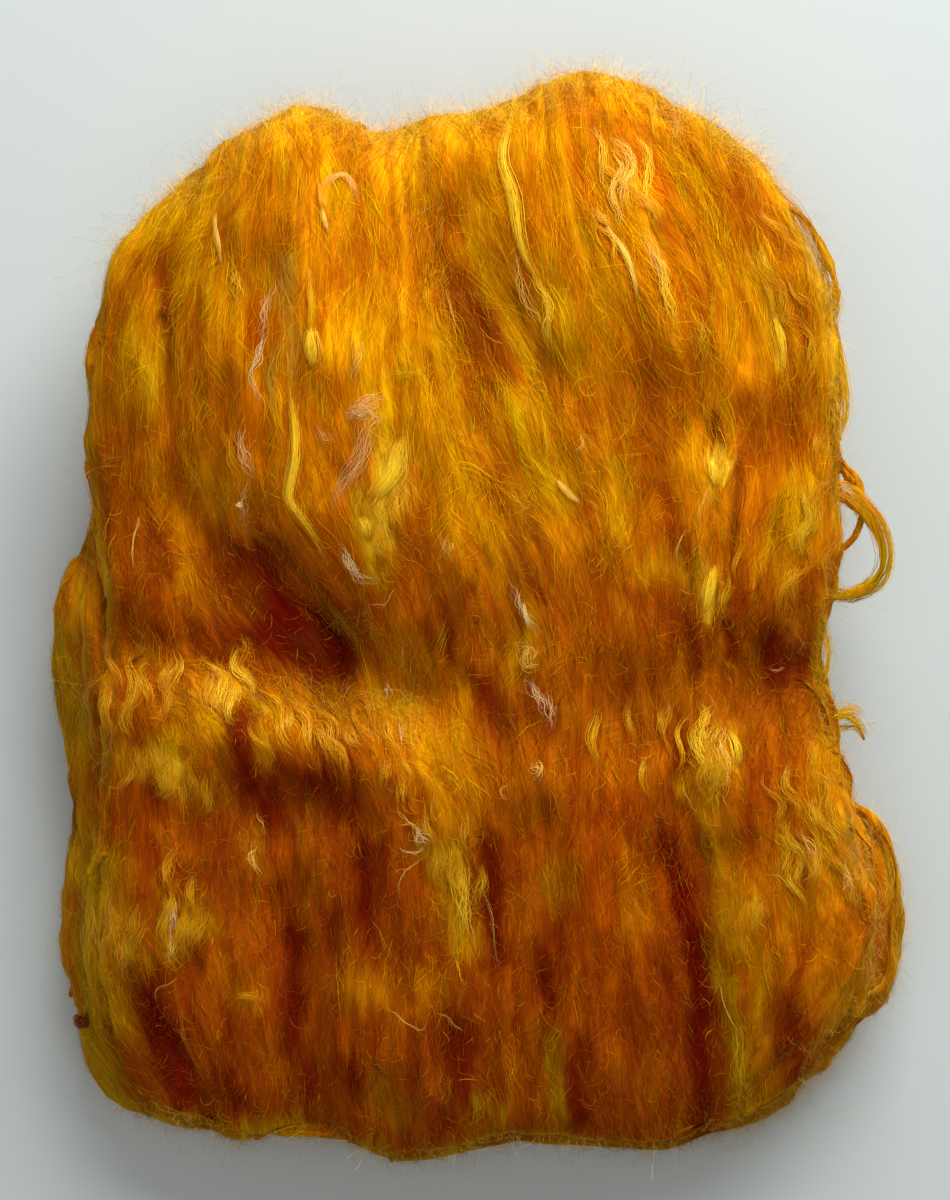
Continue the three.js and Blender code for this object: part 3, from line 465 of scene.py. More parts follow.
# Locks that stand out from the rest: kind, colour, width, and the way in x and y
LOCKS = [
    ("sleek", "lemon", 2.3, [
        (8.5, 127), (7.2, 120), (5.4, 115), (8.2, 109), (9.4, 103), (10, 97), (12, 90), (15.6, 84)]),
    ("wavy", "lemon", 2.0, [(14, 87), (18.4, 78), (17.4, 72), (19.6, 65)]),
    ("wispy", "cream", 1.2, [(9.4, 93), (11.6, 82), (14.6, 76), (17.8, 70)]),
    ("sleek", "cream", 1.4, [(31.2, 101), (34, 95), (37, 91), (39, 86), (40, 79)]),
    ("wavy", "lemon", 2.0, [(43.6, 93), (46.4, 88), (47, 82), (48.6, 77), (49.6, 70)]),
    ("wavy", "cream", 2.0, [(32.6, 121), (37, 117), (38.8, 112), (36, 108), (37.2, 100)]),
    ("wavy", "lemon", 1.8, [(39, 122), (43, 115), (42, 107), (43.4, 99)]),
    ("wavy", "cream", 1.6, [(33.6, 117), (36.4, 112), (33, 107), (35.6, 101), (34.6, 96)]),
    ("wavy", "lemon", 1.4, [(28.6, 124), (30.8, 118), (31, 111), (33.2, 105)]),
    ("wispy", "cream", 2.0, [(41, 98), (43.4, 91), (46, 84), (47, 76)]),
    ("sleek", "cream", 1.0, [(-65.2, 101.5), (-64.8, 95), (-64, 88.6)]),
    ("wavy", "pink", 1.0, [(-39.6, 106.5), (-37.6, 109.4), (-33.6, 110.6), (-31, 107.5), (-29, 104)]),
    ("sleek", "cream", 1.3, [(-38.2, 105), (-38.4, 101), (-37.4, 96)]),
    ("sleek", "orange", 1.6, [(-39.6, 109), (-38.6, 103), (-37.4, 97.5)]),
    ("wispy", "pink", 1.6, [(-51.2, 84), (-52.8, 78), (-53.3, 69)]),
    ("wispy", "pearl", 0.9, [(-52.8, 74), (-54.4, 66), (-56.2, 62), (-55.2, 57), (-52.8, 53)]),
    ("wispy", "smoke", 1.4, [(-48.6, 72), (-51, 61), (-50.2, 52), (-48, 44)]),
    ("sleek", "bright", 1.4, [(-42, 88), (-41.6, 79), (-41.2, 68)]),
    ("sleek", "lemon", 2.8, [(-41.6, 73.5), (-41.0, 67), (-41.2, 62.5)]),
    ("wispy", "straw", 1.6, [(-83.4, 66), (-81, 58), (-79.4, 53)]),
    ("wispy", "lemon", 1.6, [(-61.4, 90), (-60, 84), (-60.6, 78)]),
    ("thread", "cream", 0.7, [(-9, 84.5), (-7.4, 77), (-4.4, 70)]),
    ("thread", "orange", 0.8, [(-6.6, 69), (-7.4, 66), (-5.2, 61.5)]),
    ("wispy", "straw", 1.4, [(-9.6, 65), (-14, 61), (-20, 61.6), (-27.4, 58)]),
    ("wispy", "cream", 1.4, [(-29.4, 71), (-29.6, 65), (-30.4, 58)]),
    ("wispy", "straw", 1.6, [(54, 77), (56, 70), (56.2, 61)]),
    ("sleek", "lemon", 1.3, [(74, 77), (76, 70), (76.6, 62)]),
    ("sleek", "bright", 1.8, [(70, 90), (73, 82), (74.6, 73)]),
    ("wavy", "bright", 2.2, [(80, 76), (83, 70), (82.6, 62), (80, 56)]),
    ("sleek", "lemon", 2.4, [
        (-47, 58), (-46, 50), (-45, 43), (-46.4, 35), (-48, 29), (-44.4, 27), (-41, 22), (-38.4, 16)]),
    ("wavy", "bright", 1.8, [(-73, 43), (-70, 36), (-69, 29)]),
    ("wavy", "bright", 2.0, [(-64, 49), (-61.6, 42), (-59.6, 34)]),
    ("wispy", "pink", 1.8, [(-59.6, 49), (-58, 42), (-55.6, 35)]),
    ("wispy", "pink", 1.2, [(-57, 34), (-58, 28), (-56.8, 20)]),
    ("thread", "cream", 0.7, [(-83.8, 27), (-86, 20), (-86, 12)]),
    ("thread", "straw", 0.9, [(-91, 29), (-92.4, 20), (-92, 14)]),
    ("sleek", "lemon", 4.6, [(-18.6, 45.5), (-19.8, 40), (-22, 35), (-26, 30)]),
    ("sleek", "lemon", 2.4, [(-29.4, 25.4), (-27.6, 23.4), (-27, 20)]),
    ("wavy", "lemon", 2.0, [(-25, 29), (-22.6, 24), (-22, 19)]),
    ("wispy", "straw", 1.4, [(-28.6, 38), (-29.6, 31), (-30, 23)]),
    ("wispy", "pink", 2.4, [(-22.6, 54.5), (-28, 54), (-31.6, 51), (-30.4, 48.6)]),
    ("wispy", "pink", 2.6, [(-23, 52), (-27.6, 49), (-28, 43), (-31, 37), (-34.4, 32), (-35, 25)]),
    ("wispy", "pearl", 1.8, [(-33.4, 51), (-28, 51.6), (-24, 49)]),
    ("wispy", "pink", 1.0, [(-40.4, 49), (-38, 45.6), (-34.6, 46.2)]),
    ("wispy", "pearl", 1.3, [(-35.4, 20), (-32, 15), (-28, 11), (-23.6, 10.4)]),
    ("wispy", "pearl", 1.0, [(-34.4, 18), (-30, 12.6), (-27, 7.6)]),
    ("thread", "cream", 0.5, [(-28.4, 4.4), (-23, 4), (-19.8, 8.6)]),
    ("thread", "lemon", 0.9, [(15.8, 53), (17, 45), (17, 37)]),
    ("thread", "cream", 0.7, [(26.4, 47), (25.6, 43), (23.6, 40)]),
    ("sleek", "cream", 1.2, [(19.6, 35), (22.2, 32), (25.6, 28.6)]),
    ("thread", "cream", 0.7, [(8.4, 32), (11.4, 29), (14, 27.6)]),
    ("wispy", "cream", 1.6, [(-7.4, 22), (-7.6, 18), (-7, 14)]),
    ("wispy", "pearl", 0.9, [(8.6, 10), (12, 2), (16.4, -4.6)]),
    ("sleek", "pearl", 1.0, [(11.6, 4.4), (12.6, 0.6), (13, -2.4)]),
    ("wispy", "cream", 2.0, [(9, -9), (13.4, -6.8), (12, -12), (16.4, -11.4)]),
    ("wispy", "pearl", 1.4, [(11.6, -14), (15.6, -19.6), (18, -27)]),
    ("wispy", "pink", 1.2, [(17, -18), (18.6, -23), (17.4, -28)]),
    ("wispy", "pink", 1.0, [(-18, -25), (-18.4, -29), (-18, -33.6)]),
    ("wispy", "pearl", 1.4, [(-22.8, -16), (-22.4, -18), (-22.2, -20.6)]),
    ("wavy", "gold", 1.8, [(-19, -21), (-16, -28), (-14.6, -36)]),
    ("sleek", "lemon", 2.0, [(59, 40.6), (58.7, 36.6), (59.6, 33)]),
    ("thread", "lemon", 0.9, [(63, 41), (62, 37), (60.4, 33.4)]),
    ("sleek", "lemon", 2.4, [(59.4, 13.6), (58, 8.6), (57, 4.6), (56.6, 1.6)]),
    ("thread", "cream", 0.7, [(58, 33), (55.6, 28.4), (55, 23)]),
    ("thread", "cream", 0.7, [(52.6, 22), (50.4, 18.4), (50.6, 14)]),
    ("wavy", "gold", 1.8, [(86, 15), (81, 12), (76, 8.4), (74.8, 3.6), (76, -3)]),
    ("wispy", "straw", 1.2, [(82, -29), (83.6, -35), (83, -42)]),
    ("thread", "pink", 0.8, [(72.6, -12), (75, -12.3), (77.4, -12)]),
    ("wavy", "lemon", 1.6, [(59, -21.6), (56, -27), (57, -33), (59.4, -39)]),
    ("wavy", "lemon", 1.6, [(55, -26), (54, -31), (57, -36), (58, -42)]),
    ("wispy", "cream", 1.6, [(61, -25), (60, -32), (62, -38), (60, -46)]),
    ("sleek", "lemon", 2.4, [(62.6, -28), (64, -32), (64.4, -37)]),
    ("thread", "cream", 0.8, [(51.6, -41), (53, -44.6), (55.6, -48)]),
    ("thread", "lemon", 0.8, [(60.6, -42), (60, -45), (59.2, -49)]),
    ("thread", "cream", 0.5, [(-55.2, -48), (-54, -51), (-52.4, -54.4)]),
    ("wispy", "cream", 1.2, [(-55, -56), (-57, -60), (-55, -62.6), (-53.6, -65)]),
    ("wispy", "pearl", 1.4, [(-77, -70), (-76, -74.6), (-78, -78)]),
    ("wispy", "cream", 1.6, [(-76, -78), (-76.6, -82), (-78.4, -86)]),
    ("thread", "pearl", 0.7, [(-76.4, -71), (-76.8, -79), (-77.2, -87)]),
    ("thread", "gold", 0.9, [
        (-76, -86), (-75.4, -93), (-73.5, -99), (-73, -105), (-70, -110.6), (-66.6, -118)]),
    ("thread", "cream", 0.5, [(-74, -89.6), (-78, -91), (-80.6, -93.4), (-79, -96)]),
    ("sleek", "gold", 1.4, [(-61, -94.6), (-57.4, -93.4), (-53.6, -96.6)]),
    ("thread", "cream", 0.6, [(-20.4, -46.6), (-17, -51), (-12.8, -54)]),
    ("thread", "cream", 0.7, [(-20.4, -51), (-15.4, -51.6), (-12.6, -55.6)]),
    ("thread", "pearl", 0.7, [(-19.8, -56.6), (-16.4, -58.4), (-12.6, -56.6)]),
    ("thread", "cream", 0.6, [(-19.4, -70), (-18.6, -63.4), (-13, -59)]),
    ("wispy", "pearl", 2.0, [(-15.6, -52), (-13.8, -54.4), (-12.6, -57)]),
    ("wispy", "lemon", 3.6, [(-6.4, -57), (-5, -63), (-3.6, -72), (-4.4, -82)]),
    ("wispy", "straw", 2.6, [(-9.6, -58), (-7.6, -62), (-5, -64)]),
    ("thread", "cream", 0.5, [(-2.2, -69), (-1.2, -77), (0, -83.4)]),
    ("thread", "cream", 0.5, [(0.6, -62), (1.4, -68), (3.4, -75), (4, -82), (5.4, -88)]),
    ("thread", "lemon", 0.5, [(-5.4, -84), (-4.4, -88), (-2.6, -92)]),
    ("thread", "straw", 0.5, [(-11.4, -69), (-9.4, -74), (-5.6, -75)]),
    ("thread", "cream", 0.4, [(-23, -96.6), (-17, -101), (-14, -102.8), (-12, -99)]),
    ("thread", "cream", 0.5, [(-11.4, -97.8), (-8, -98.6), (-5, -101.4), (-2.8, -105.4)]),
    ("thread", "straw", 0.4, [(-26.4, -74.6), (-23.2, -80), (-24.2, -85.6)]),
    ("thread", "straw", 0.6, [(-35, -82), (-34.6, -92), (-34, -103)]),
    ("thread", "cream", 0.5, [(7.6, -42), (5.6, -42.4), (5.4, -44), (8, -44.4)]),
    ("wispy", "cream", 1.4, [(12.6, -36), (15.6, -38), (14, -41)]),
    ("wispy", "straw", 1.8, [(79, -48), (84, -52), (86, -58), (85.4, -64), (82, -70.6)]),
    ("wispy", "cream", 1.2, [(78.6, -51), (83, -56), (84, -62), (80, -66)]),
    ("thread", "cream", 0.8, [(71.6, -63), (77, -65), (79.6, -70.4)]),
    ("wispy", "lemon", 1.6, [(84, -49.6), (88.6, -54), (90, -61)]),
    ("wispy", "cream", 1.2, [(90.8, -59), (92, -65), (95.8, -67)]),
    ("wispy", "cream", 1.2, [(91.4, -62), (91.6, -67), (92.2, -72)]),
    ("sleek", "bright", 1.8, [(90.4, -83.6), (94, -87.6), (97, -87.4), (100, -84)]),
    ("sleek", "bright", 1.4, [(95, -80.6), (98, -79.4), (100.4, -76.6)]),
    ("thread", "straw", 0.7, [(87, -59), (88.4, -69), (88.6, -79)]),
    ("wispy", "straw", 2.4, [(74, -52), (77.6, -57), (76, -62)]),
    ("thread", "cream", 0.6, [(59.8, -89), (62, -96), (66, -104.4)]),
    ("thread", "straw", 1.0, [(64.8, -109), (66, -115), (68.6, -120)]),
    ("wispy", "straw", 2.0, [(62, -92), (65.4, -103), (65, -114), (66.4, -126)]),
    ("wispy", "straw", 1.8, [(69.4, -69), (70, -74), (70.6, -80)]),
]

# Places with curly tresses: middle x, y, reach across and along, how many, length, lean to the
# right for each millimetre up, swing, wavelength, width, and their colours
TRESSES = [
    (-80, -17, 12, 7, 8, 15, 0.1, 1.8, 14, 2.0, ["honey", "mustard", "amber", "bright"]),
    (-63, -19, 9, 6, 10, 14, -0.3, 1.9, 13, 2.2, ["honey", "lemon", "amber", "bright"]),
    (-47, -25, 12, 6, 9, 14, -0.5, 1.8, 13, 2.0, ["gold", "honey", "bright"]),
    (-31, -28, 12, 8, 8, 14, -0.7, 1.3, 14, 2.4, ["honey", "amber", "gold"]),
    (-79, -38, 8, 5, 8, 11, 0.2, 1.3, 11, 2.2, ["gold", "mustard", "honey"]),
    (-92, -14, 6, 12, 7, 16, 0.0, 1.2, 14, 2.2, ["honey", "mustard", "amber"]),
    (58, -32, 4.5, 10, 7, 15, 0.1, 1.3, 12, 1.8, ["bright", "mustard", "gold"]),
    (82, -58, 10, 14, 12, 13, -0.3, 1.6, 12, 2.0, ["gold", "mustard", "straw", "honey"]),
    (95, -68, 7, 18, 10, 14, -0.2, 1.4, 14, 2.6, ["gold", "mustard", "honey"]),
    (90, -50, 9, 9, 8, 14, -0.4, 1.4, 13, 2.4, ["mustard", "gold"]),
    (-74, -74, 9, 9, 9, 14, 0.1, 1.1, 15, 2.6, ["gold", "bright", "mustard"]),
    (-94, -76, 5, 14, 6, 16, 0.0, 1.0, 15, 2.4, ["mustard", "gold"]),
    (-87, -79, 3, 5, 7, 15, 0.1, 1.1, 14, 2.6, ["mustard", "gold", "honey"]),
    (38, 110, 9, 15, 9, 16, -0.5, 1.2, 12, 1.8, ["bright", "gold"]),
    (77, 84, 8, 18, 10, 16, -0.5, 1.3, 13, 2.2, ["gold", "mustard", "honey"]),
    (84, 22, 6, 16, 10, 15, 0.2, 1.5, 13, 2.4, ["mustard", "gold", "straw"]),
    (-24, 24, 6, 8, 6, 12, -0.1, 1.1, 11, 1.8, ["bright", "mustard"]),
    (-6, -64, 7, 13, 8, 14, -0.1, 1.0, 13, 2.0, ["mustard", "gold"]),
    (40, -30, 14, 12, 5, 14, 0.0, 1.0, 13, 2.0, ["mustard", "amber", "honey"]),
    (60, 8, 6, 13, 4, 13, 0.1, 1.1, 12, 1.8, ["honey", "mustard"]),
    (-14, -46, 12, 10, 6, 14, -0.3, 1.0, 13, 2.2, ["amber", "honey"]),
]

# Locks that arch clear of the rim: colour, width, and the way in x, y and z
ARCHES = [
    ("gold", 3.6, [(78, 31, 41), (86, 32.6, 42.5), (92, 31, 43), (97.5, 25, 43), (100, 18, 42)]),
    ("olive", 3.0, [
        (92, 31, 42), (97.8, 25, 42.5), (100.8, 16, 42), (98.6, 9.2, 41), (92, 5.8, 40), (82, 8, 40)]),
    ("straw", 1.2, [(95, 30, 42), (100.4, 24, 42), (102.4, 15, 41), (99.6, 8, 40), (92, 4.4, 39)]),
    ("straw", 2.0, [(83, 4, 34), (86.6, -3, 34), (87.4, -11, 33), (85, -18, 32)]),
    ("straw", 3.0, [(86, 74, 37), (90.0, 64, 37), (91, 52, 37), (88.6, 45, 37), (84, 40, 38)]),
    ("straw", 1.2, [(78, 101, 42), (83, 96, 40), (85.6, 89, 40), (84.6, 82, 41)]),
    ("mustard", 2.0, [(72, 107, 42), (78.6, 101, 41), (83.6, 92, 40), (87.4, 80, 38), (87, 68, 38)]),
    ("straw", 1.2, [
        (84, 76, 38), (86, 82.6, 38), (89, 81, 38), (89, 75, 38), (86.4, 72.6, 38), (84.6, 77, 38)]),
    ("gold", 2.4, [(72, 86, 32), (85.6, 78, 33), (89.6, 66, 33), (90.4, 55, 32), (84, 47, 32)]),
    ("straw", 3.2, [(78, -34, 33), (83, -28.6, 34), (88, -25, 35), (92.6, -22.6, 35), (95.4, -23.6, 33)]),
    ("straw", 2.2, [(84, -27, 34), (90, -23.6, 35), (94, -25.2, 35), (96.4, -29, 34)]),
    ("olive", 1.6, [(80, -31, 33), (87, -27.6, 34), (93, -26.6, 34), (96, -27.6, 32)]),
]

# Small round tangles: colour, x, y, radius
NEPS = [
    ("pearl", -59, 29, 0.9),
    ("maroon", -97.4, -100, 2.2),
    ("umber", -78, 77, 1.2),
]

# Tufts laid over the skin, a row for each piece: name, tufts, fibres in each, steps, shortest and
# longest fibre, narrowest and widest, spread across and along, least and most lift, crown of the
# tuft, share of the curl, stray from the flow, bend for each millimetre, weight of the sides,
# how much the tufts differ, their tone, and how far they take the colour of loose fibres
COVERS = [
    ("lower_tufts", 1150, 10, 6, 14, 28, 0.08, 0.17, 1.6, 5,
     0.0, 0.3, 0.3, 0.7, 0.14, 0.012, 0.9, 0.13, -0.12, 0.0),
    ("middle_tufts", 2000, 8, 6, 9, 20, 0.07, 0.13, 1.2, 3,
     0.2, 0.6, 0.3, 0.9, 0.26, 0.030, 0.9, 0.19, 0.0, 0.0),
    ("upper_tufts", 2600, 6, 6, 5, 12, 0.04, 0.09, 1.3, 3,
     0.4, 1.3, 0.3, 1.0, 0.50, 0.070, 0.7, 0.22, 0.14, 0.18),
    ("curled_fibres", 6400, 1, 8, 3, 11, 0.04, 0.07, 0, 0,
     0.5, 1.8, 0.0, 1.4, 0.9, 0.140, 0.5, 0.34, 0.36, 0.6),
]

# Flyaway fibres of the rim, a row for each piece: name, how many, steps, shortest and longest,
# narrowest and widest, how far they stand off, bend, and curl to each side
FUZZ = [
    ("rim_fuzz", 14500, 4, 3, 8, 0.03, 0.06, 0.30, 0.7, 0.0),
    ("rim_wisps", 2000, 8, 7, 15, 0.035, 0.06, 0.42, 0.5, 0.10),
]

# How far out from the middle a loose fibre may reach, in X, Y and Z
LIMITS = (113, 142, 66)

# How the rim of the plain solid is drawn out: x, y, z, reach, and how far
BULGES = [
    (-88, -116, 10, 15, 10),
    (78, -118, 13, 16, 5.5),
    (-99, -36, 12, 12, 2.5),
]

# How its outline is shifted: middle x, y, reach across and along, shift in x and in y
SHIFTS = [
    (-110, -4, 5, 16, 4.5, 0),
    (-109, -76, 5, 16, 3.5, 0),
    (110, -79, 6, 18, -4.8, 0),
    (99, -107, 5, 8, -4.5, 1.5),
    (88, 94, 10, 14, -3.2, 0),
    (91, 62, 8, 18, -2.0, 0),
    (85, -20, 8, 12, 3.5, 0),
    (88, -38, 8, 10, 3.0, 0),
    (90, -113, 7, 5, -2.5, 4.0),
    (-22, -136, 20, 9, 0, -2.4),
    (14, -136, 24, 9, 0, -2.8),
    (44, -136, 16, 9, 0, -2.4),
]

# Soft lobes of the rim and fillets over them: middle x, y, z and half sizes
LOBES = [
    (-98.8, -9, 21, 8.8, 26, 6.5),
    (-94.5, -9, 28, 4.5, 25, 7),
    (-97, -76, 16, 8.8, 27, 7),
    (-94, -76, 25, 4.5, 28, 7),
    (97.4, -75, 20, 10, 26, 8),
    (94.5, -74, 29, 5, 25, 7),
    (86, -99, 14, 11.6, 12.5, 8),
    (80, -108, 13, 10.4, 10, 8),
]

# How red, green and blue follow a change of tone
WARMTH = (0.5, 1.0, 0.9)

# How far the green of a tuft strays from its dye's
HUE_STRAY = 0.25

# Colour of the loose fibres over the lower and the upper half
LOOSE = ("amber", "mustard")

# Least and greatest red, green and blue of a colour
COLOUR_RANGE = (0.001, 0.97)

# Layers of noise: strength, spacing and offset across the fibres, spacing along them
TUFT_NOISE = [(1.2, 7, 0, 34), (0.8, 2.7, 9, 20)]
RAGGED_SIDES = [(1.5, 5, 0, 20), (0.8, 1.9, 0, 10)]
RAGGED_ENDS = [(5, 1.8, 31, 34)]
TONE_NOISE = [(0.8, 2.2, 57, 24), (0.75, 1.0, 83, 13)]

# How far the soft curls of the dye swirl, over the lower and the upper half
SWIRL_LOW = 2.0
SWIRL_HIGH = 1.0
SWIRL_SPACING = 8

# How much a streak of strength 1 covers, and how much the painted shade of the dark openings between the
# fibres covers
STREAK_COVER = 0.75
OPENING_SHADE = 0.5

# How the matted fibres of the lower half differ: shorter, further astray and more bent
MATTED_SHORTER = 0.4
MATTED_ASTRAY = 0.9
MATTED_BENT = 1.4

TUFT_SHADE = 0.20                # painted light and shade: how much lighter the fibres are painted where the tufts stand high, and darker in the hollows between them
OWN_TONE = 1.1                   # how much the tone of one fibre differs, against its tuft's
OWN_STRAY = 0.06                 # how far one fibre strays from its tuft, in radians
OWN_BEND = 0.3                   # how much the bend of one fibre differs, against its tuft's
COLOUR_SHIFT = (1.0, 3.0)        # how far off a tuft takes its colour from, in x and in y
SMEAR = 0.4                      # how far the colours along a fibre are drawn to its middle's
RIM_GLOW = 0.9                   # how far the rim takes its painted glow, a paler colour in place of light through its thin fibres
WANDER = 0.34                    # how far the flow of the fibres wanders, in radians
WANDER_SPACING = 8

# A second, smaller wave of the fibres: its swing and its turns against the first
MINOR_SWING = 0.35
MINOR_TURNS = 2.3

# The fibres' thickness against their width: at their tips, and how much more in the middle
TIP_SHARE = 0.2
MIDDLE_SHARE = 0.8
TWIST = 0.15                     # how far they twist, in radians

# Strands of a lock: how far they spread against its width, their least height over the skin, how
# much their tones differ, and how near its painted glint brings them to lemon
STRAND_SPREAD = 0.30
STRAND_HEIGHT = 0.9
STRAND_TONE = 0.12
GLINT = 0.6

# Fuzz is painted paler than the silk under it, a painted glow of light through its thin fibres: the share
# of that silk's colour, and what is added
FUZZ_SHARE = 0.8
FUZZ_GLOW = (0.26, 0.2, 0.07)

# How much more fuzz stands at the upper fold, on the right side and at the lower fold
FUZZ_UPPER = 2.5
FUZZ_RIGHT = 1.5
FUZZ_LOWER = 2.5
CLUMP_SPACING = 4                # of the clumps that the fuzz leans in

# In metres: where a ray off the skin starts, and how far it runs free over a place that shows
RAY_START = 0.0004
RAY_REACH = 0.012
CAGE_RAY_START = 0.0002          # the same off the solid's own faces
CAGE_RAY_REACH = 0.006

# The body's mesh: how often it is cut finer and relaxed, and how moves that fold it are damped
FINER_CUTS = 2
RELAX_PASSES = 12
DAMP_PASSES = 8
DAMP = 0.6
FOLDED = 0.3                     # a face has folded where its two normals' product is less

# Heights of the body's small lumps and of the tufts on its sides
LUMP_HEIGHT = 1.1
SIDE_TUFT_HEIGHT = 1.2

# Painted shade: how much darker the body's colour is painted in the hollows between its tufts and lighter
# on their tops, and its tone elsewhere
BODY_SHADE = 0.3
BODY_TONE = -0.1

# Streaks in the silk, as noise over a fibre's width, its length and its own number: the scale of
# the noise, its turn, and its darkest and lightest factor
FELT_STREAKS = [
    ((0.8, 0.07, 0.8), 0.0, 0.8, 1.2),
    ((3.0, 0.14, 3.0), 0.12, 0.8, 1.18),
    ((4.5, 0.30, 4.5), -0.4, 0.85, 1.12),
    ((4.5, 0.30, 4.5), 0.6, 0.88, 1.12),
]
FIBRE_STREAKS = [
    ((2.5, 0.12, 1.7), 0.0, 0.88, 1.12),
    ((0.3, 0.7, 1.7), 0.0, 0.88, 1.12),
]

# Lights, in metres: name, place, size, power and colour, all aimed at one spot
LIGHTS = [
    ("window", (0.30, 0.85, 0.62), 0.8, 19.4, (0.95, 1.0, 0.99)),
    ("fill", (-0.2, -0.2, 1.3), 1.2, 3.6, (1.0, 0.98, 0.93)),
]
LIT_SPOT = (0, 0, 0.02)
SKY_COLOUR = (0.94, 0.98, 1.0, 1)
SKY_STRENGTH = 0.34
FLOOR_COLOUR = (0.50, 0.522, 0.509, 1)
FLOOR_HALF = 3.0

# The part of the picture that the tables' fields cover, and the spacing of their points
FIELD_X = 126
FIELD_Y = 156
FIELD_STEP = 0.6


def rise(at, low, high):
    """0 below low, 1 above high, smooth between."""
    t = np.clip((at - low) / (high - low), 0, 1)
    return t * t * (3 - 2 * t)


def hump(share):
    """From 0 at one end over 1 in the middle back to 0."""
    return np.sin(np.pi * share) ** 0.5


def blend(first, second, share):
    """The first where the share is 0, the second where it is 1."""
    return (1 - share) * first + share * second


def spot(x, y, row):
    """Weight of a table row with a middle and two reaches, at x, y."""
    return np.exp(-(((x - row[0]) / row[2]) ** 2) - ((y - row[1]) / row[3]) ** 2)


def streak(x, y, row):
    """Weight of a streak of colour at x, y."""
    x0, y0, x1, y1, half = row[:5]
    long = (x1 - x0) ** 2 + (y1 - y0) ** 2
    along = np.clip(((x - x0) * (x1 - x0) + (y - y0) * (y1 - y0)) / long, 0, 1)
    off = (x - x0 - along * (x1 - x0)) ** 2 + (y - y0 - along * (y1 - y0)) ** 2
    return np.exp(-off / half**2)


def grain(*places):
    """Smooth noise from -1 to 1 at each place."""
    shape = places[0].shape
    flat = [np.broadcast_to(p, shape).ravel() for p in places]
    while len(flat) < 3:
        flat.append(np.full(flat[0].shape, 4.7 * len(flat)))
    return np.array([noise.noise(p) for p in np.stack(flat, -1).tolist()]).reshape(shape)


def layered(line, y, rows):
    """Noise in layers over the fibre line and y."""
    return sum(row[0] * grain(line / row[1] + row[2], y / row[3]) for row in rows)


def toned(colours, tone):
    """Colours made lighter or darker, their green kept to its share of the red."""
    made = colours * np.exp(tone[..., None] * np.array(WARMTH))
    made[..., 1] = np.minimum(made[..., 1], GREENEST * made[..., 0])
    return np.clip(made, *COLOUR_RANGE)


def swirl(x, y):
    """Shifts that bend straight streaks into soft curls, stronger over the lower half."""
    force = SWIRL_LOW - (SWIRL_LOW - SWIRL_HIGH) * rise(y, 20, 80)
    u, v = x / SWIRL_SPACING, y / SWIRL_SPACING
    return force * grain(u + 3, v), force * grain(u + 53, v)


def lean_at(x, y):
    """Millimetres to the right for each one up, for the fibres at x, y."""
    return sum(row[4] * spot(x, y, row) for row in LEANS)


def curl_at(x, y):
    """Swing and wavelength of the fibres at x, y."""
    swing = np.full_like(x, CALM_SWING)
    wave = np.full_like(x, CALM_WAVE)
    for row in CURLS:
        weight = spot(x, y, row)
        swing += (row[4] - CALM_SWING) * weight
        wave += (row[5] - CALM_WAVE) * weight
    return swing, np.maximum(wave, SHORTEST_WAVE)


def on_plane(points):
    """Where the camera sees points on the batt's middle plane, in the tables' x and y."""
    middle = np.array(FRAME_MIDDLE)
    nearer = CAMERA_HEIGHT / (CAMERA_HEIGHT + MIDDLE_PLANE - points[..., 2:] / MM)
    seen_at = middle + (points[..., :2] / MM - middle) * nearer
    return seen_at[..., 0], seen_at[..., 1]


def fibre_line(x, y, steps=14):
    """Where the fibre through x, y would cross the middle of the batt: alike all along one fibre."""
    line = x.copy()
    step = -y / steps
    for k in range(steps):
        line += step * lean_at(line, y + (k + 0.5) * step)
    return line


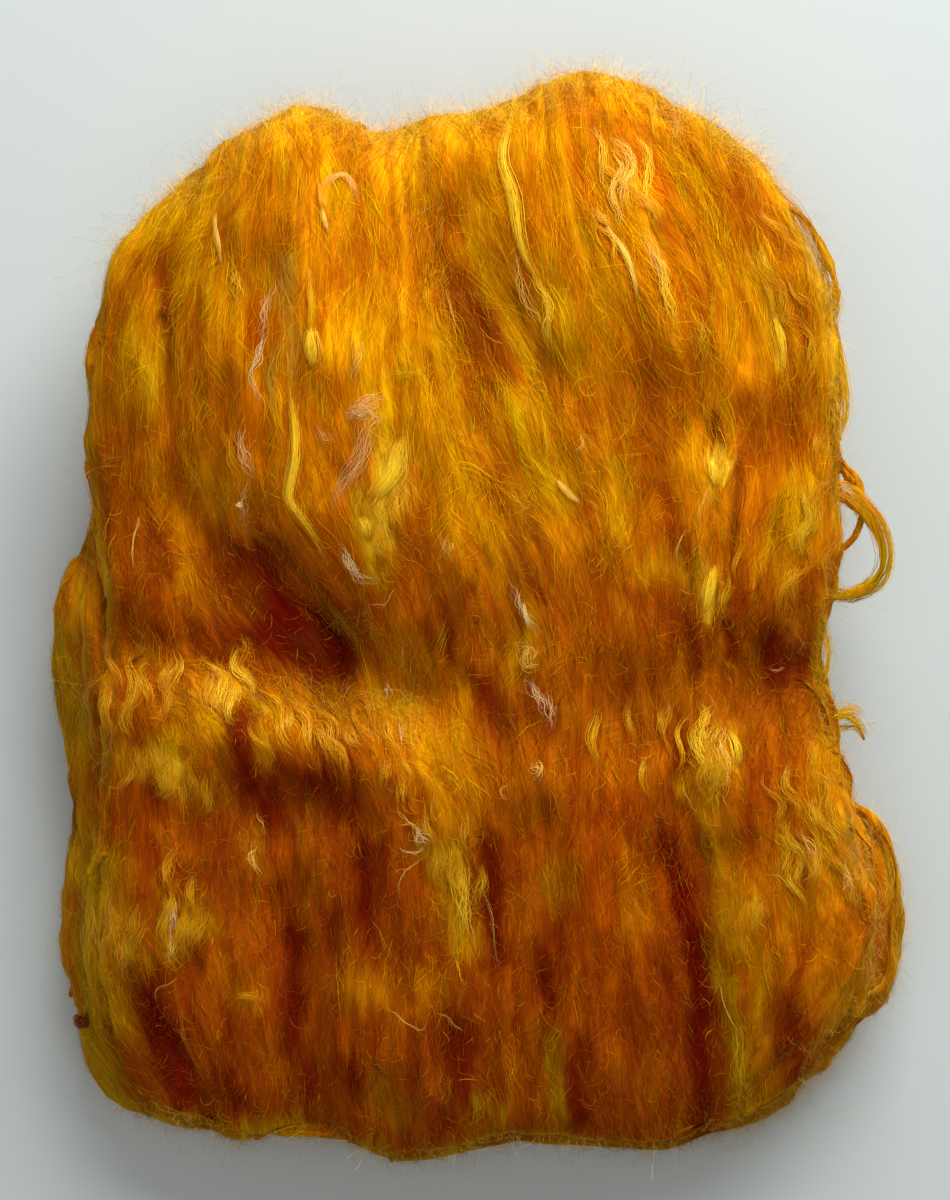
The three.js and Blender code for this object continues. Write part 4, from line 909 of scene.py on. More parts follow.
class Fields:
    """The silk's colour with its painted shade, the fibre line and the height of the tufts, on a grid,
    looked up between its points.
    """

    def __init__(self):
        columns = np.arange(-FIELD_X, FIELD_X, FIELD_STEP)
        rows = np.arange(-FIELD_Y, FIELD_Y, FIELD_STEP)
        self.x, self.y = np.meshgrid(columns, rows)
        self.line = fibre_line(self.x, self.y)
        self.colour = self.dye_and_shade()
        swirl_x, swirl_y = swirl(self.x, self.y)
        line, y = self.line + swirl_x, self.y + swirl_y
        self.tufts = layered(line, y, TUFT_NOISE)

    def dye_and_shade(self):
        """Colour of the silk: its ground and streaks, some of them painted shade, with ragged ends, tufts
        and painted shade in the dark openings between the fibres.
        """
        swirl_x, swirl_y = swirl(self.x, self.y)
        warp_x = self.x + swirl_x + layered(self.line, self.y, RAGGED_SIDES)
        warp_y = self.y + swirl_y + layered(self.line, self.y, RAGGED_ENDS)
        line, y = self.line + swirl_x, self.y + swirl_y
        stops = np.array([row[0] for row in GROUND])
        colours = np.array([PALETTE[row[1]] for row in GROUND])
        mixed = np.stack([np.interp(warp_y, stops, colours[:, k]) for k in range(3)], -1)
        for row in STREAKS:
            laid = 1 - np.exp(-STREAK_COVER * row[6] * streak(warp_x, warp_y, row))[..., None]
            mixed += laid * (np.array(PALETTE[row[5]]) - mixed)
        # Painted shade: the openings between the fibres, mostly over the lower half, are painted dark
        # maroon.
        low = 1 - 0.7 * rise(y, 30, 70)
        opening_shade = low * rise(grain(line / 2.2 + 7, y / 14, self.x / 40), 0.25, 0.6)
        mixed += OPENING_SHADE * opening_shade[..., None] * (np.array(PALETTE["maroon"]) - mixed)
        tone = layered(line, y, TONE_NOISE) + 0.2 * grain(self.x / 7 + 11, y / 9 + 5)
        tone *= 1 - 0.35 * low
        return toned(mixed, tone)

    def look_up(self, values, x, y):
        """Values at x, y, from the four grid points around."""
        u = np.clip((x + FIELD_X) / FIELD_STEP, 0, self.x.shape[1] - 1.001)
        v = np.clip((y + FIELD_Y) / FIELD_STEP, 0, self.x.shape[0] - 1.001)
        i, j = u.astype(int), v.astype(int)
        a, b = u - i, v - j
        if values.ndim == 3:
            a, b = a[..., None], b[..., None]
        top = values[j, i] * (1 - a) + values[j, i + 1] * a
        low = values[j + 1, i] * (1 - a) + values[j + 1, i + 1] * a
        return top * (1 - b) + low * b


class Skin:
    """The batt's surface, for placing fibres on it."""

    def __init__(self, vertices, faces):
        self.vertices = vertices
        self.faces = faces
        self.tree = BVHTree.FromPolygons(vertices.tolist(), faces.tolist())

    def nearest(self, points):
        """The nearest surface points and their normals."""
        found = [self.tree.find_nearest(point)[:2] for point in points.tolist()]
        return np.array([f[0] for f in found]), np.array([f[1] for f in found])

    def below(self, places):
        """The surface points that the camera sees at the tables' x, y places, their normals, and
        whether there is any surface.
        """
        eye = Vector((*FRAME_MIDDLE, MIDDLE_PLANE + CAMERA_HEIGHT)) * MM
        points, normals, hits = [], [], []
        for x, y in places.tolist():
            spot_on_plane = Vector((x, y, MIDDLE_PLANE)) * MM
            point, normal = self.tree.ray_cast(eye, (spot_on_plane - eye).normalized())[:2]
            points.append(point or spot_on_plane)
            normals.append(normal or Vector((0, 0, 1)))
            hits.append(point is not None)
        return np.array(points), np.array(normals), np.array(hits)

    def scatter(self, count, rng, weigh):
        """Random places on the skin that can be seen, weighed by weigh(points, normals)."""
        cross = face_cross(self.vertices, self.faces)
        area = np.linalg.norm(cross, axis=1)
        normals = cross / np.maximum(area, 1e-12)[:, None]
        corners = self.vertices[self.faces]
        middles = corners.mean(1)
        chance = area * weigh(middles, normals)
        picked = rng.choice(len(area), size=2 * count, p=chance / chance.sum())
        a, b = rng.random((2, len(picked), 1))
        over = a + b > 1
        a = np.where(over, 1 - a, a)
        b = np.where(over, 1 - b, b)
        tri = corners[picked]
        points = tri[:, 0] + a * (tri[:, 1] - tri[:, 0]) + b * (tri[:, 2] - tri[:, 0])
        out = normals[picked]
        open_places = []
        for i, (point, normal) in enumerate(zip(points.tolist(), out.tolist())):
            start = Vector(point) + RAY_START * Vector(normal)
            if self.tree.ray_cast(start, Vector(normal), RAY_REACH)[0] is None:
                open_places.append(i)
            if len(open_places) == count:
                break
        return points[open_places], out[open_places]


def unit(vectors):
    """The same directions, one long."""
    return vectors / np.maximum(np.linalg.norm(vectors, axis=-1), 1e-9)[..., None]


def across(lines, normals):
    """Directions at right angles to the lines, along the surface."""
    return unit(np.cross(unit(np.gradient(lines, axis=1)), normals))


def fibre_way(points, normals):
    """Direction of the fibres on the surface: along Y on top, round the folds, along Y at the sides."""
    round_fold = np.cross(normals, (1.0, 0, 0))
    along = np.array((0, 1.0, 0)) - normals[:, 1:2] * normals
    at_side = rise(np.abs(normals[:, 0]), 0.75, 0.95)[:, None]
    same = np.where((round_fold * along).sum(1) < 0, -1.0, 1.0)[:, None]
    way = unit((1 - at_side) * round_fold + at_side * same * along)
    lean = lean_at(points[:, 0] / MM, points[:, 1] / MM) * np.abs(normals[:, 2])
    upward = np.where(way[:, 1] * normals[:, 2] < 0, -1.0, 1.0)
    return unit(way + (upward * lean)[:, None] * np.cross(way, normals))


def trace(skin, points, normals, lengths, steps, stray, bend):
    """Lines of fibre over the skin, half to each side of their points: places and normals, by step.

    A fibre strays from the flow by an angle of its own, which grows along it by its bend.
    """
    halves = []
    for sign in (-1.0, 1.0):
        at, out = points.copy(), normals.copy()
        base = sign * fibre_way(at, out)
        track = []
        for k in range(steps // 2):
            gone = sign * (k + 0.5) * lengths / steps / MM
            turn = stray + bend * gone + WANDER * grain(*(at / MM / WANDER_SPACING).T)
            way = np.cos(turn)[:, None] * base + np.sin(turn)[:, None] * np.cross(out, base)
            at, out = skin.nearest(at + way * (lengths / steps)[:, None])
            new_base = fibre_way(at, out)
            base = new_base * np.where((new_base * base).sum(1) < 0, -1.0, 1.0)[:, None]
            track.append((at, out))
        halves.append(track)
    track = halves[0][::-1] + [(points, normals)] + halves[1]
    return np.stack([t[0] for t in track], 1), np.stack([t[1] for t in track], 1)


def smoothed(lines, passes):
    """Lines with their kinks eased."""
    for _ in range(passes):
        eased = lines.copy()
        eased[:, 1:-1] = 0.25 * lines[:, :-2] + 0.5 * lines[:, 1:-1] + 0.25 * lines[:, 2:]
        lines = eased
    return lines


def fibre_faces(count, rings, sides):
    """Faces of many fibres: the quads along them, and the caps of those with three sides."""
    first = (np.arange(count) * rings * sides)[:, None]
    step = (np.arange(rings - 1) * sides)[None, :, None, None]
    if sides == 2:
        corner = np.array([[0, 1, 3, 2]])[None, None]
        caps = np.zeros((0, 3), int)
    else:
        corner = np.array([[k, (k + 1) % 3, 3 + (k + 1) % 3, 3 + k] for k in range(3)])[None, None]
        last = first + (rings - 1) * sides
        caps = np.concatenate([first + np.array((2, 1, 0)), last + np.array((0, 1, 2))])
    return (first[:, :, None, None] + step + corner).reshape(-1, 4), caps


def fibre_mesh(name, lines, normals, widths, tints, rng, sides=2, flat=0.6):
    """One mesh of tapering fibres along the lines: flat ones of two sides, or closed ones of three."""
    count, rings = lines.shape[:2]
    way = unit(np.gradient(lines, axis=1))
    side = unit(np.cross(way, normals))
    out = unit(np.cross(side, way))
    share = np.linspace(0, 1, rings)
    taper = TIP_SHARE + MIDDLE_SHARE * hump(share)
    half = 0.5 * widths[:, None] * taper[None, :]
    if sides == 2:
        twist = rng.normal(0, TWIST, (count, 1)) + rng.normal(0, TWIST, (count, 1)) * share
        angles = [twist, twist + math.pi]
        flat = 1.0
    else:
        angles = [np.full((count, 1), a) for a in np.radians((90, 210, 330))]
    ring = [
        lines + (half * np.cos(a))[..., None] * side + (flat * half * np.sin(a))[..., None] * out
        for a in angles
    ]
    vertices = np.stack(ring, 2).reshape(-1, 3)
    quads, caps = fibre_faces(count, rings, sides)
    mesh = bpy.data.meshes.new(name)
    build_mesh(mesh, vertices, quads, caps)
    seeds = rng.uniform(0, 50, count)
    lengths = np.linalg.norm(np.diff(lines, axis=1), axis=2).sum(1)
    strand = np.zeros((count, rings, sides, 3))
    strand[..., 0] = np.stack([np.cos(a) * half for a in angles], -1) / MM
    strand[..., 1] = (share[None, :] * lengths[:, None])[..., None] / MM
    strand[..., 2] = seeds[:, None, None]
    add_attribute(mesh, "strand", "FLOAT_VECTOR", strand.reshape(-1, 3))
    colour = np.ones((count, rings, sides, 4))
    colour[..., :3] = tints[:, :, None, :]
    add_attribute(mesh, "tint", "FLOAT_COLOR", colour.reshape(-1, 4))
    add_bake_map(mesh, count, rings, 1 if sides == 2 else sides, len(caps) > 0)
    return new_piece(name, mesh)


def build_mesh(mesh, vertices, quads, triangles):
    """Fills an empty mesh from arrays, all faces smooth."""
    loops = np.concatenate([quads.ravel(), triangles.ravel()])
    starts = np.concatenate([np.arange(len(quads)) * 4, len(quads) * 4 + np.arange(len(triangles)) * 3])
    mesh.vertices.add(len(vertices))
    mesh.vertices.foreach_set("co", vertices.astype(np.float32).ravel())
    mesh.loops.add(len(loops))
    mesh.loops.foreach_set("vertex_index", loops.astype(np.int32))
    mesh.polygons.add(len(starts))
    mesh.polygons.foreach_set("loop_start", starts.astype(np.int32))
    mesh.update(calc_edges=True)
    mesh.polygons.foreach_set("use_smooth", np.ones(len(starts), bool))


def add_attribute(mesh, name, kind, values):
    """Adds one value for each vertex."""
    attribute = mesh.attributes.new(name, kind, "POINT")
    field = "color" if kind == "FLOAT_COLOR" else "vector"
    attribute.data.foreach_set(field, values.astype(np.float32).ravel())


def add_bake_map(mesh, count, rings, faces, capped, margin=0.12):
    """A UV map with a cell of its own for each fibre: its faces side by side, its length up."""
    cells = math.ceil(math.sqrt(count))
    column = (np.arange(count) % cells)[:, None, None, None]
    row = (np.arange(count) // cells)[:, None, None, None]
    step = np.arange(rings - 1)[None, :, None, None]
    side = np.arange(faces)[None, None, :, None]
    corner_u = np.array((0, 1, 1, 0))[None, None, None]
    corner_v = np.array((0, 0, 1, 1))[None, None, None]
    inner = 1 - 2 * margin
    u = (column + margin + inner * (side + corner_u) / faces + 0 * step) / cells
    v = (row + margin + inner * (step + corner_v) / (rings - 1) + 0 * side) / cells
    uv = np.stack(np.broadcast_arrays(u, v), -1).reshape(-1, 2)
    if capped:
        cap_u = (np.tile((np.arange(count) % cells), 2)[:, None] + np.array((0.2, 0.5, 0.8))) / cells
        ends = np.repeat((0.02, 0.92), count)[:, None] + np.array((0, 0.06, 0))
        cap_v = (np.tile((np.arange(count) // cells), 2)[:, None] + ends) / cells
        uv = np.concatenate([uv, np.stack([cap_u, cap_v], -1).reshape(-1, 2)])
    layer = mesh.uv_layers.new(name="OFBake")
    layer.data.foreach_set("uv", uv.astype(np.float32).ravel())


def new_piece(name, mesh):
    """An object of the batt that goes with its body."""
    piece = bpy.data.objects.new(name, mesh)
    bpy.context.scene.collection.objects.link(piece)
    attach(piece, "root")
    return piece


def wave_and_lift(lines, normals, rng, swing, wave, lift, settle=0.3, shared=0.6):
    """Moves traced lines: they swing sideways in waves that neighbours share, and lift off the skin."""
    count, rings = lines.shape[:2]
    side = across(lines, normals)
    gaps = np.linalg.norm(np.diff(lines, axis=1), axis=2)
    run = np.concatenate([np.zeros((count, 1)), np.cumsum(gaps, 1)], 1)
    middle = lines[:, rings // 2] / MM
    common = middle[:, 0] * 0.35 + middle[:, 1] * 2 * math.pi / wave
    phase = common + (1 - shared) * rng.uniform(-math.pi, math.pi, count)
    turns = 2 * math.pi * (run - run[:, rings // 2][:, None]) / (wave[:, None] * MM)
    sway = swing[:, None] * np.sin(turns + phase[:, None])
    sway += MINOR_SWING * swing[:, None] * np.sin(MINOR_TURNS * turns + 2 * phase[:, None])
    arch = hump(np.linspace(0, 1, rings))
    bob = 0.3 * np.sin(turns * 0.8 + rng.uniform(0, 6.28, count)[:, None])
    height = lift[:, None] * (arch + bob * arch) - settle * (1 - arch)
    return lines + (sway[..., None] * side + height[..., None] * normals) * MM


def rim_glow_share(normals):
    """How far a surface belongs to the rim, whose colour is painted paler: a painted glow of light through
    the thin fibres of its edge.
    """
    return RIM_GLOW * rise(0.8 - np.abs(normals[..., 2]), 0.0, 0.5)


def rim_glow_colour(x, y):
    """Painted colour of the rim, a painted glow: paler straw where the light falls, along the upper fold
    and the right side, olive elsewhere.
    """
    # Painted light: the rim's glow is paler towards the upper right, where the window light comes from.
    pale = rise(y + 1.1 * x, -70, 60)[..., None]
    straw = np.array(PALETTE["straw"])
    return blend(blend(np.array(PALETTE["olive"]), straw, 0.5), straw, pale)


def fibre_tints(fields, lines, normals, places, tone, loose=0.0):
    """Colour along each fibre: the silk's colour at its places, the painted glow of the rim, painted light
    and shade from the height of the tufts there, and its tone.
    """
    x, y = places[..., 0], places[..., 1]
    colours = fields.look_up(fields.colour, x, y)
    upper = rise(y, 0, 60)[..., None]
    own = blend(np.array(PALETTE[LOOSE[0]]), np.array(PALETTE[LOOSE[1]]), upper)
    colours = blend(colours, own, loose)
    # Painted glow of the rim.
    colours = blend(colours, rim_glow_colour(x, y), rim_glow_share(normals)[..., None])
    # Painted light and shade: fibres on high tufts lighter, those in the hollows darker.
    height = fields.look_up(fields.tufts, *on_plane(lines))
    return toned(colours, tone[:, None] + TUFT_SHADE * height)


def smeared(lines, shift):
    """The places that the colours of the fibres come from: their own, drawn together and shifted."""
    places = np.stack(on_plane(lines), -1)
    middles = places[:, lines.shape[1] // 2][:, None]
    return blend(places, middles, SMEAR) + shift[:, None]


def seen(side_weight):
    """A weighing of the skin that has its top in full, its sides in part and not its underside."""

    def weigh(middles, normals):
        up = rise(normals[:, 2], -0.45, 0.5)
        side = side_weight * rise(normals[:, 2], -0.6, -0.1) * (1 - up)
        return (side + up) * rise(middles[:, 2] / MM, 1, 5)

    return weigh


def shared(values, each):
    """The value of each tuft, for all its fibres."""
    return np.repeat(values, each, axis=0)


def tuft_lines(skin, row, rng):
    """Centres of tufts, how far each fibre lies from its tuft's middle, and its line and normals."""
    _, tufts, each, steps, short, long, _, _, spread, reach = row[:10]
    stray, bend, side_weight = row[14:17]
    centres, outs = skin.scatter(tufts, rng, seen(side_weight))
    tufts = len(centres)
    count = tufts * each
    way = fibre_way(centres, outs)
    share = rng.normal(0, 1, count)
    sideways = spread * share[:, None] * shared(np.cross(way, outs), each)
    ahead = reach * rng.normal(0, 1, (count, 1)) * shared(way, each)
    points, outs = skin.nearest(shared(centres, each) + (sideways + ahead) * MM)
    matted = shared(1 - rise(centres[:, 1] / MM, 0, 60), each)
    lengths = shared(rng.uniform(short, long, tufts), each) * rng.uniform(0.7, 1.1, count) * MM
    lengths *= 1 - MATTED_SHORTER * matted
    strays = shared(rng.normal(0, stray, tufts), each) + rng.normal(0, OWN_STRAY, count)
    bends = shared(rng.normal(0, bend, tufts), each) + rng.normal(0, OWN_BEND * bend, count)
    strays *= 1 + MATTED_ASTRAY * matted
    bends *= 1 + MATTED_BENT * matted
    lines, outs = trace(skin, points, outs, lengths, steps, strays, bends)
    return centres, share, smoothed(lines, 1), unit(smoothed(outs, 3))


def tuft_tints(fields, lines, outs, row, rng):
    """Colours of the fibres of tufts: each tuft has a tone and a hue, and each fibre differs a little."""
    each = row[2]
    differ, tone, loose = row[17:]
    count = len(lines)
    tufts = count // each
    tones = shared(rng.normal(0, 1, tufts), each) + OWN_TONE * rng.normal(0, 1, count)
    shift = shared(rng.normal(0, COLOUR_SHIFT, (tufts, 2)), each)
    tints = fibre_tints(fields, lines, outs, smeared(lines, shift), tone + differ * tones, loose)
    hues = HUE_STRAY * (shared(rng.normal(0, 1, tufts), each) + rng.normal(0, 1, count))
    tints[..., 1] = np.minimum(tints[..., 1] * np.exp(hues)[:, None], GREENEST * tints[..., 0])
    return tints


def cover(skin, fields, row, rng):
    """One piece of tufts over the skin."""
    name, _, each = row[:3]
    thin, wide = row[6:8]
    low, high, crown, curl = row[10:14]
    centres, share, lines, outs = tuft_lines(skin, row, rng)
    tufts = len(centres)
    middle = shared(centres, each) / MM
    swing, wave = curl_at(middle[:, 0], middle[:, 1])
    wave = wave * shared(rng.uniform(0.8, 1.1, tufts), each)
    lift = shared(rng.uniform(low, high, tufts), each) + crown * np.exp(-(share**2))
    tints = tuft_tints(fields, lines, outs, row, rng)
    lines = wave_and_lift(lines, outs, rng, curl * swing, wave, lift)
    lines[..., 2] = np.maximum(lines[..., 2], wide * MM)
    if each > 1:
        outs = unit(outs + 0.2 * np.clip(share, -1.5, 1.5)[:, None, None] * across(lines, outs))
    widths = rng.uniform(thin, wide, len(lines)) * MM
    loose_piece(name, lines, outs, widths, tints, rng)


def loose_piece(name, lines, outs, widths, tints, rng):
    """One piece of the fibres that stay within the limits of the batt."""
    kept = (np.abs(lines) <= np.array(LIMITS) * MM).all((1, 2))
    piece = fibre_mesh(name, lines[kept], outs[kept], widths[kept], tints[kept], rng)
    piece.data.materials.append(silk(name))


def ease_path(points, rings):
    """A smooth line of evenly spaced places through the points, as a Catmull-Rom curve."""
    points = np.array(points, float)
    padded = np.concatenate([2 * points[:1] - points[1:2], points, 2 * points[-1:] - points[-2:-1]])
    fine = []
    for k in range(len(points) - 1):
        a, b, c, d = padded[k : k + 4]
        for t in np.linspace(0, 1, 12, endpoint=False):
            square = (2 * a - 5 * b + 4 * c - d) * t**2
            fine.append(0.5 * (2 * b + (c - a) * t + square + (3 * b - a - 3 * c + d) * t**3))
    fine = np.array(fine + [points[-1]])
    run = np.concatenate([[0], np.cumsum(np.linalg.norm(np.diff(fine, axis=0), axis=1))])
    even = np.linspace(0, run[-1], rings)
    return np.stack([np.interp(even, run, fine[:, k]) for k in range(fine.shape[1])], -1)


def strand_ways(row, rng, rings):
    """Ways of a lock's strands over the plane, their reach along it, their offsets, its length."""
    kind, _, width, way = row
    swing, wave, parted, _, _, close, _ = KINDS[kind]
    count = max(3, round(width * close))
    path = ease_path(way, rings * 2)
    last = len(path) - 1
    total = np.linalg.norm(np.diff(path, axis=0), axis=1).sum()
    slope = unit(np.gradient(path, axis=0))
    knots = np.arange(len(path))
    offsets = rng.normal(0, STRAND_SPREAD, count) * width
    ways, reach = [], []
    for offset in offsets:
        start, end = rng.uniform((-0.05, 0.9 - 0.5 * parted), (0.05 + 0.4 * parted, 1.05))
        share = np.linspace(start, end, rings)
        inside = np.clip(share, 0, 1) * last
        at = np.stack([np.interp(inside, knots, path[:, k]) for k in range(2)], -1)
        ahead = np.stack([np.interp(inside, knots, slope[:, k]) for k in range(2)], -1)
        at += (share - np.clip(share, 0, 1))[:, None] * total * ahead
        side = np.stack([ahead[:, 1], -ahead[:, 0]], -1)
        turns = 2 * math.pi * share * total / wave * (1 + 0.5 * parted * rng.normal())
        narrow = 1 - 0.7 * (1 - parted) * np.abs(2 * share - 1) ** 1.6
        wander = parted * width * 0.5 * np.sin(share * rng.uniform(3, 9) + rng.uniform(0, 6.3))
        sway = swing * np.sin(turns + rng.normal(0, 0.2 + 2 * parted)) + offset * narrow + wander
        ways.append(at + sway[:, None] * side)
        reach.append(share)
    return np.array(ways), np.array(reach), offsets, total


def lock_strands(skin, fields, rng, row, rings=11):
    """The strands of one lock that lies on the skin: lines, normals, widths and tints."""
    kind, colour, width, _ = row
    parted, thin, wide, _, painted_glint = KINDS[kind][2:]
    ways, reach, offsets, total = strand_ways(row, rng, rings)
    count = len(ways)
    places, normals, hits = skin.below(ways.reshape(-1, 2))
    lines = places.reshape(count, rings, 3)
    gaps = np.linalg.norm(np.diff(lines, axis=1), axis=2).max(1)
    lies = hits.reshape(count, rings).all(1) & (gaps < 2 * total * MM / rings)
    lines = smoothed(lines, 1)
    normals = unit(smoothed(normals.reshape(count, rings, 3), 3))
    share = np.clip(offsets / (0.6 * width), -1, 1)
    crown = 0.2 * (1 - parted) * width * np.sqrt(1 - share**2)
    heights = (STRAND_HEIGHT + crown + rng.uniform(0, 0.3 + parted, count)) * MM
    lines = lines + (heights[:, None] * hump(np.linspace(0, 1, rings)))[..., None] * normals
    side = across(lines, normals)
    normals = unit(normals + 0.4 * (1 - parted) * share[:, None, None] * side)
    widths = rng.uniform(thin, wide, count) * MM
    ground = fields.look_up(fields.colour, *on_plane(lines))
    tints = lock_tints(colour, ground, rng, reach, np.abs(share), painted_glint)
    return lines[lies], normals[lies], widths[lies], tints[lies]


def lock_tints(colour, ground, rng, reach, off, painted_glint):
    """Colours of the strands of a lock: its own, with a painted glint, fading into the ground at its ends.
    """
    count, rings = reach.shape
    own = np.array(PALETTE[colour]) * np.exp(rng.normal(0, STRAND_TONE, (count, 1, 1)))
    # Painted highlight: a glint along each lock, drawn towards lemon.
    bright = painted_glint * np.exp(-(((reach - rng.uniform(0.3, 0.7)) / 0.16) ** 2))[..., None]
    own = own + GLINT * bright * (np.array(PALETTE["lemon"]) - own)
    here = np.sin(np.pi * np.clip(reach, 0.02, 0.98)) ** 0.45 * (1 - 0.25 * off[:, None] ** 2)
    here = (here * rng.uniform(0.85, 1, (count, 1)))[..., None]
    return np.clip(blend(ground, own, here), *COLOUR_RANGE)


def tresses(skin, fields, rng, row):
    """The strands of the curly tresses that lie close together at one place."""
    x, y, reach_x, reach_y, count, length, lean, swing, wave, width, colours = row
    along = np.array((lean, 1)) / math.hypot(lean, 1)
    side = np.array((along[1], -along[0]))
    made = []
    for k in range(count):
        middle = np.array((x, y)) + rng.normal(0, 0.5, 2) * (reach_x, reach_y)
        run = np.linspace(0.5, -0.5, 9) * length * rng.uniform(0.7, 1.2)
        phase = 2 * math.pi * middle[1] / wave + 0.25 * middle[0] + rng.normal(0, 0.5)
        sway = swing * rng.uniform(0.6, 1.2) * np.sin(2 * math.pi * run / wave + phase)
        way = middle + run[:, None] * along + sway[:, None] * side
        tress = ("tress", colours[k % len(colours)], width * rng.uniform(0.6, 1.2), way.tolist())
        made.append(lock_strands(skin, fields, rng, tress))
    return made


def arch_strands(rng, row, rings=13, close=14):
    """The strands of one lock that arches clear of the rim."""
    colour, width, way = row
    count = round(width * close)
    path = ease_path(way, rings)
    path_way = unit(np.gradient(path, axis=0))
    side = unit(np.cross(path_way, (0, 0, 1.0)))
    up = np.cross(side, path_way)
    share = np.linspace(0, 1, rings)
    lines = []
    for _ in range(count):
        a, b = rng.normal(0, STRAND_SPREAD, 2) * width
        turn = rng.uniform(-1.5, 1.5) * share
        spread_side = a * np.cos(turn) - b * np.sin(turn)
        spread_up = a * np.sin(turn) + b * np.cos(turn)
        ripple = 0.3 * np.sin(share * rng.uniform(6, 14) + rng.uniform(0, 6))
        line = path + (spread_side + ripple)[:, None] * side + spread_up[:, None] * up
        lines.append(line * MM)
    lines = np.array(lines)
    normals = np.broadcast_to(up, (count, rings, 3))
    widths = rng.uniform(0.08, 0.18, count) * MM
    ground = np.broadcast_to(np.array(PALETTE["mustard"]), lines.shape)
    reach = np.broadcast_to(share, (count, rings))
    # The arches' colours, with a painted glint of strength 0.3.
    return lines, normals, widths, lock_tints(colour, ground, rng, reach, np.zeros(count), 0.3)


def nep_strands(skin, rng, row, rings=13, count=16):
    """The strands of one small tangle: arcs wound round a ball that sits on the skin."""
    colour, x, y, radius = row
    places, normals, _ = skin.below(np.array([(x, y)]))
    centre = places[0] + normals[0] * (0.5 + radius * 0.6) * MM
    share = np.linspace(0, 1, rings)
    lines, outs = [], []
    for _ in range(count):
        a = unit(rng.normal(0, 1, 3))
        b = unit(np.cross(a, rng.normal(0, 1, 3)))
        turn = rng.uniform(0, 6.28) + share * rng.uniform(3, 6)
        ball = np.cos(turn)[:, None] * a + np.sin(turn)[:, None] * b
        size = radius * rng.uniform(0.7, 1.1)
        lines.append(centre + ball * size * MM * (1, 1, 0.7))
        outs.append(ball)
    widths = rng.uniform(0.2, 0.4, count) * MM
    tints = np.array(PALETTE[colour]) * np.exp(rng.normal(0, STRAND_TONE, (count, 1, 1)))
    return np.array(lines), np.array(outs), widths, np.broadcast_to(tints, (count, rings, 3))


def lock_piece(name, made, rng, sides=2):
    """One piece of strands from the lines, normals, widths and tints of many locks."""
    lines, normals, widths, tints = (np.concatenate([m[k] for m in made]) for k in range(4))
    piece = fibre_mesh(name, lines, normals, widths, tints, rng, sides)
    piece.data.materials.append(silk(name, gloss=0.4))


def rim_fuzz(skin, fields, row, rng):
    """Fine flyaway fibres that stand off the rim and the shoulders."""
    name, count, steps, short, long, thin, wide, off, bent, curl = row

    def weigh(middles, normals):
        rim = rise(0.75 - np.abs(normals[:, 2]), 0, 0.5)
        x, y, z = (middles / MM).T
        upper = 1 + FUZZ_UPPER * rise(y, 70, 110) + FUZZ_RIGHT * rise(x, 50, 80)
        lower = 1 + FUZZ_LOWER * rise(-y, 105, 125)
        return rim * upper * lower * rise(z, 3, 8) * rise(normals[:, 2], -0.5, 0.1)

    points, normals = skin.scatter(count, rng, weigh)
    count = len(points)
    share = np.linspace(0, 1, steps + 1)[None, :, None]
    way = fibre_way(points, normals) * rng.choice((-1.0, 1.0), count)[:, None]
    side = np.cross(way, normals)
    clump = grain(*(points / MM / CLUMP_SPACING).T)
    lean = (0.6 * clump + rng.normal(0, 0.6, count))[:, None]
    lengths = rng.uniform(short, long, count)[:, None, None] * MM
    go = unit(way + lean * side)[:, None]
    out = normals[:, None]
    stand = (off + 0.25 * clump + rng.normal(0, 0.16, count))[:, None, None]
    bend = rng.normal(0, bent, count)[:, None, None]
    turns = rng.uniform(5, 11, (count, 1, 1)) * share + rng.uniform(0, 6.28, (count, 1, 1))
    lines = points[:, None] - 0.3 * MM * out
    lines = lines + lengths * (share * go + stand * np.sin(np.pi * share * 0.75) * out)
    lines = lines + lengths * (bend * share**2 + curl * share * np.sin(turns)) * side[:, None]
    lines[..., 2] = np.maximum(lines[..., 2], 0.4 * MM)
    outs = np.broadcast_to(out, lines.shape)
    # Painted glow: the fuzz is toned lighter and made paler than the silk under it.
    tints = fibre_tints(fields, lines, outs, lines[..., :2] / MM, rng.normal(0.2, 0.25, count))
    tints = np.clip(FUZZ_SHARE * tints + FUZZ_GLOW, *COLOUR_RANGE)
    widths = rng.uniform(thin, wide, count) * MM
    loose_piece(name, lines, outs, widths, tints, rng)


def set_inputs(node, values):
    """Sets the inputs of a node by their names."""
    for name, value in values.items():
        node.inputs[name].default_value = value


def noise_factor(tree, vector, scale, turn, low, high):
    """A factor from low to high that follows noise stretched along the turned fibres."""
    nodes, links = tree.nodes, tree.links
    place = nodes.new("ShaderNodeMapping")
    set_inputs(place, {"Rotation": (0, 0, turn), "Scale": scale})
    links.new(vector, place.inputs["Vector"])
    wave = nodes.new("ShaderNodeTexNoise")
    set_inputs(wave, {"Scale": 1.0, "Detail": 2.0})
    links.new(place.outputs["Vector"], wave.inputs["Vector"])
    level = nodes.new("ShaderNodeMapRange")
    set_inputs(level, {"From Min": 0.3, "From Max": 0.7, "To Min": low, "To Max": high})
    links.new(wave.outputs["Fac"], level.inputs["Value"])
    return level.outputs["Result"]


def product(tree, sockets):
    """The product of several factors."""
    total = sockets[0]
    for socket in sockets[1:]:
        times = tree.nodes.new("ShaderNodeMath")
        times.operation = "MULTIPLY"
        tree.links.new(total, times.inputs[0])
        tree.links.new(socket, times.inputs[1])
        total = times.outputs[0]
    return total


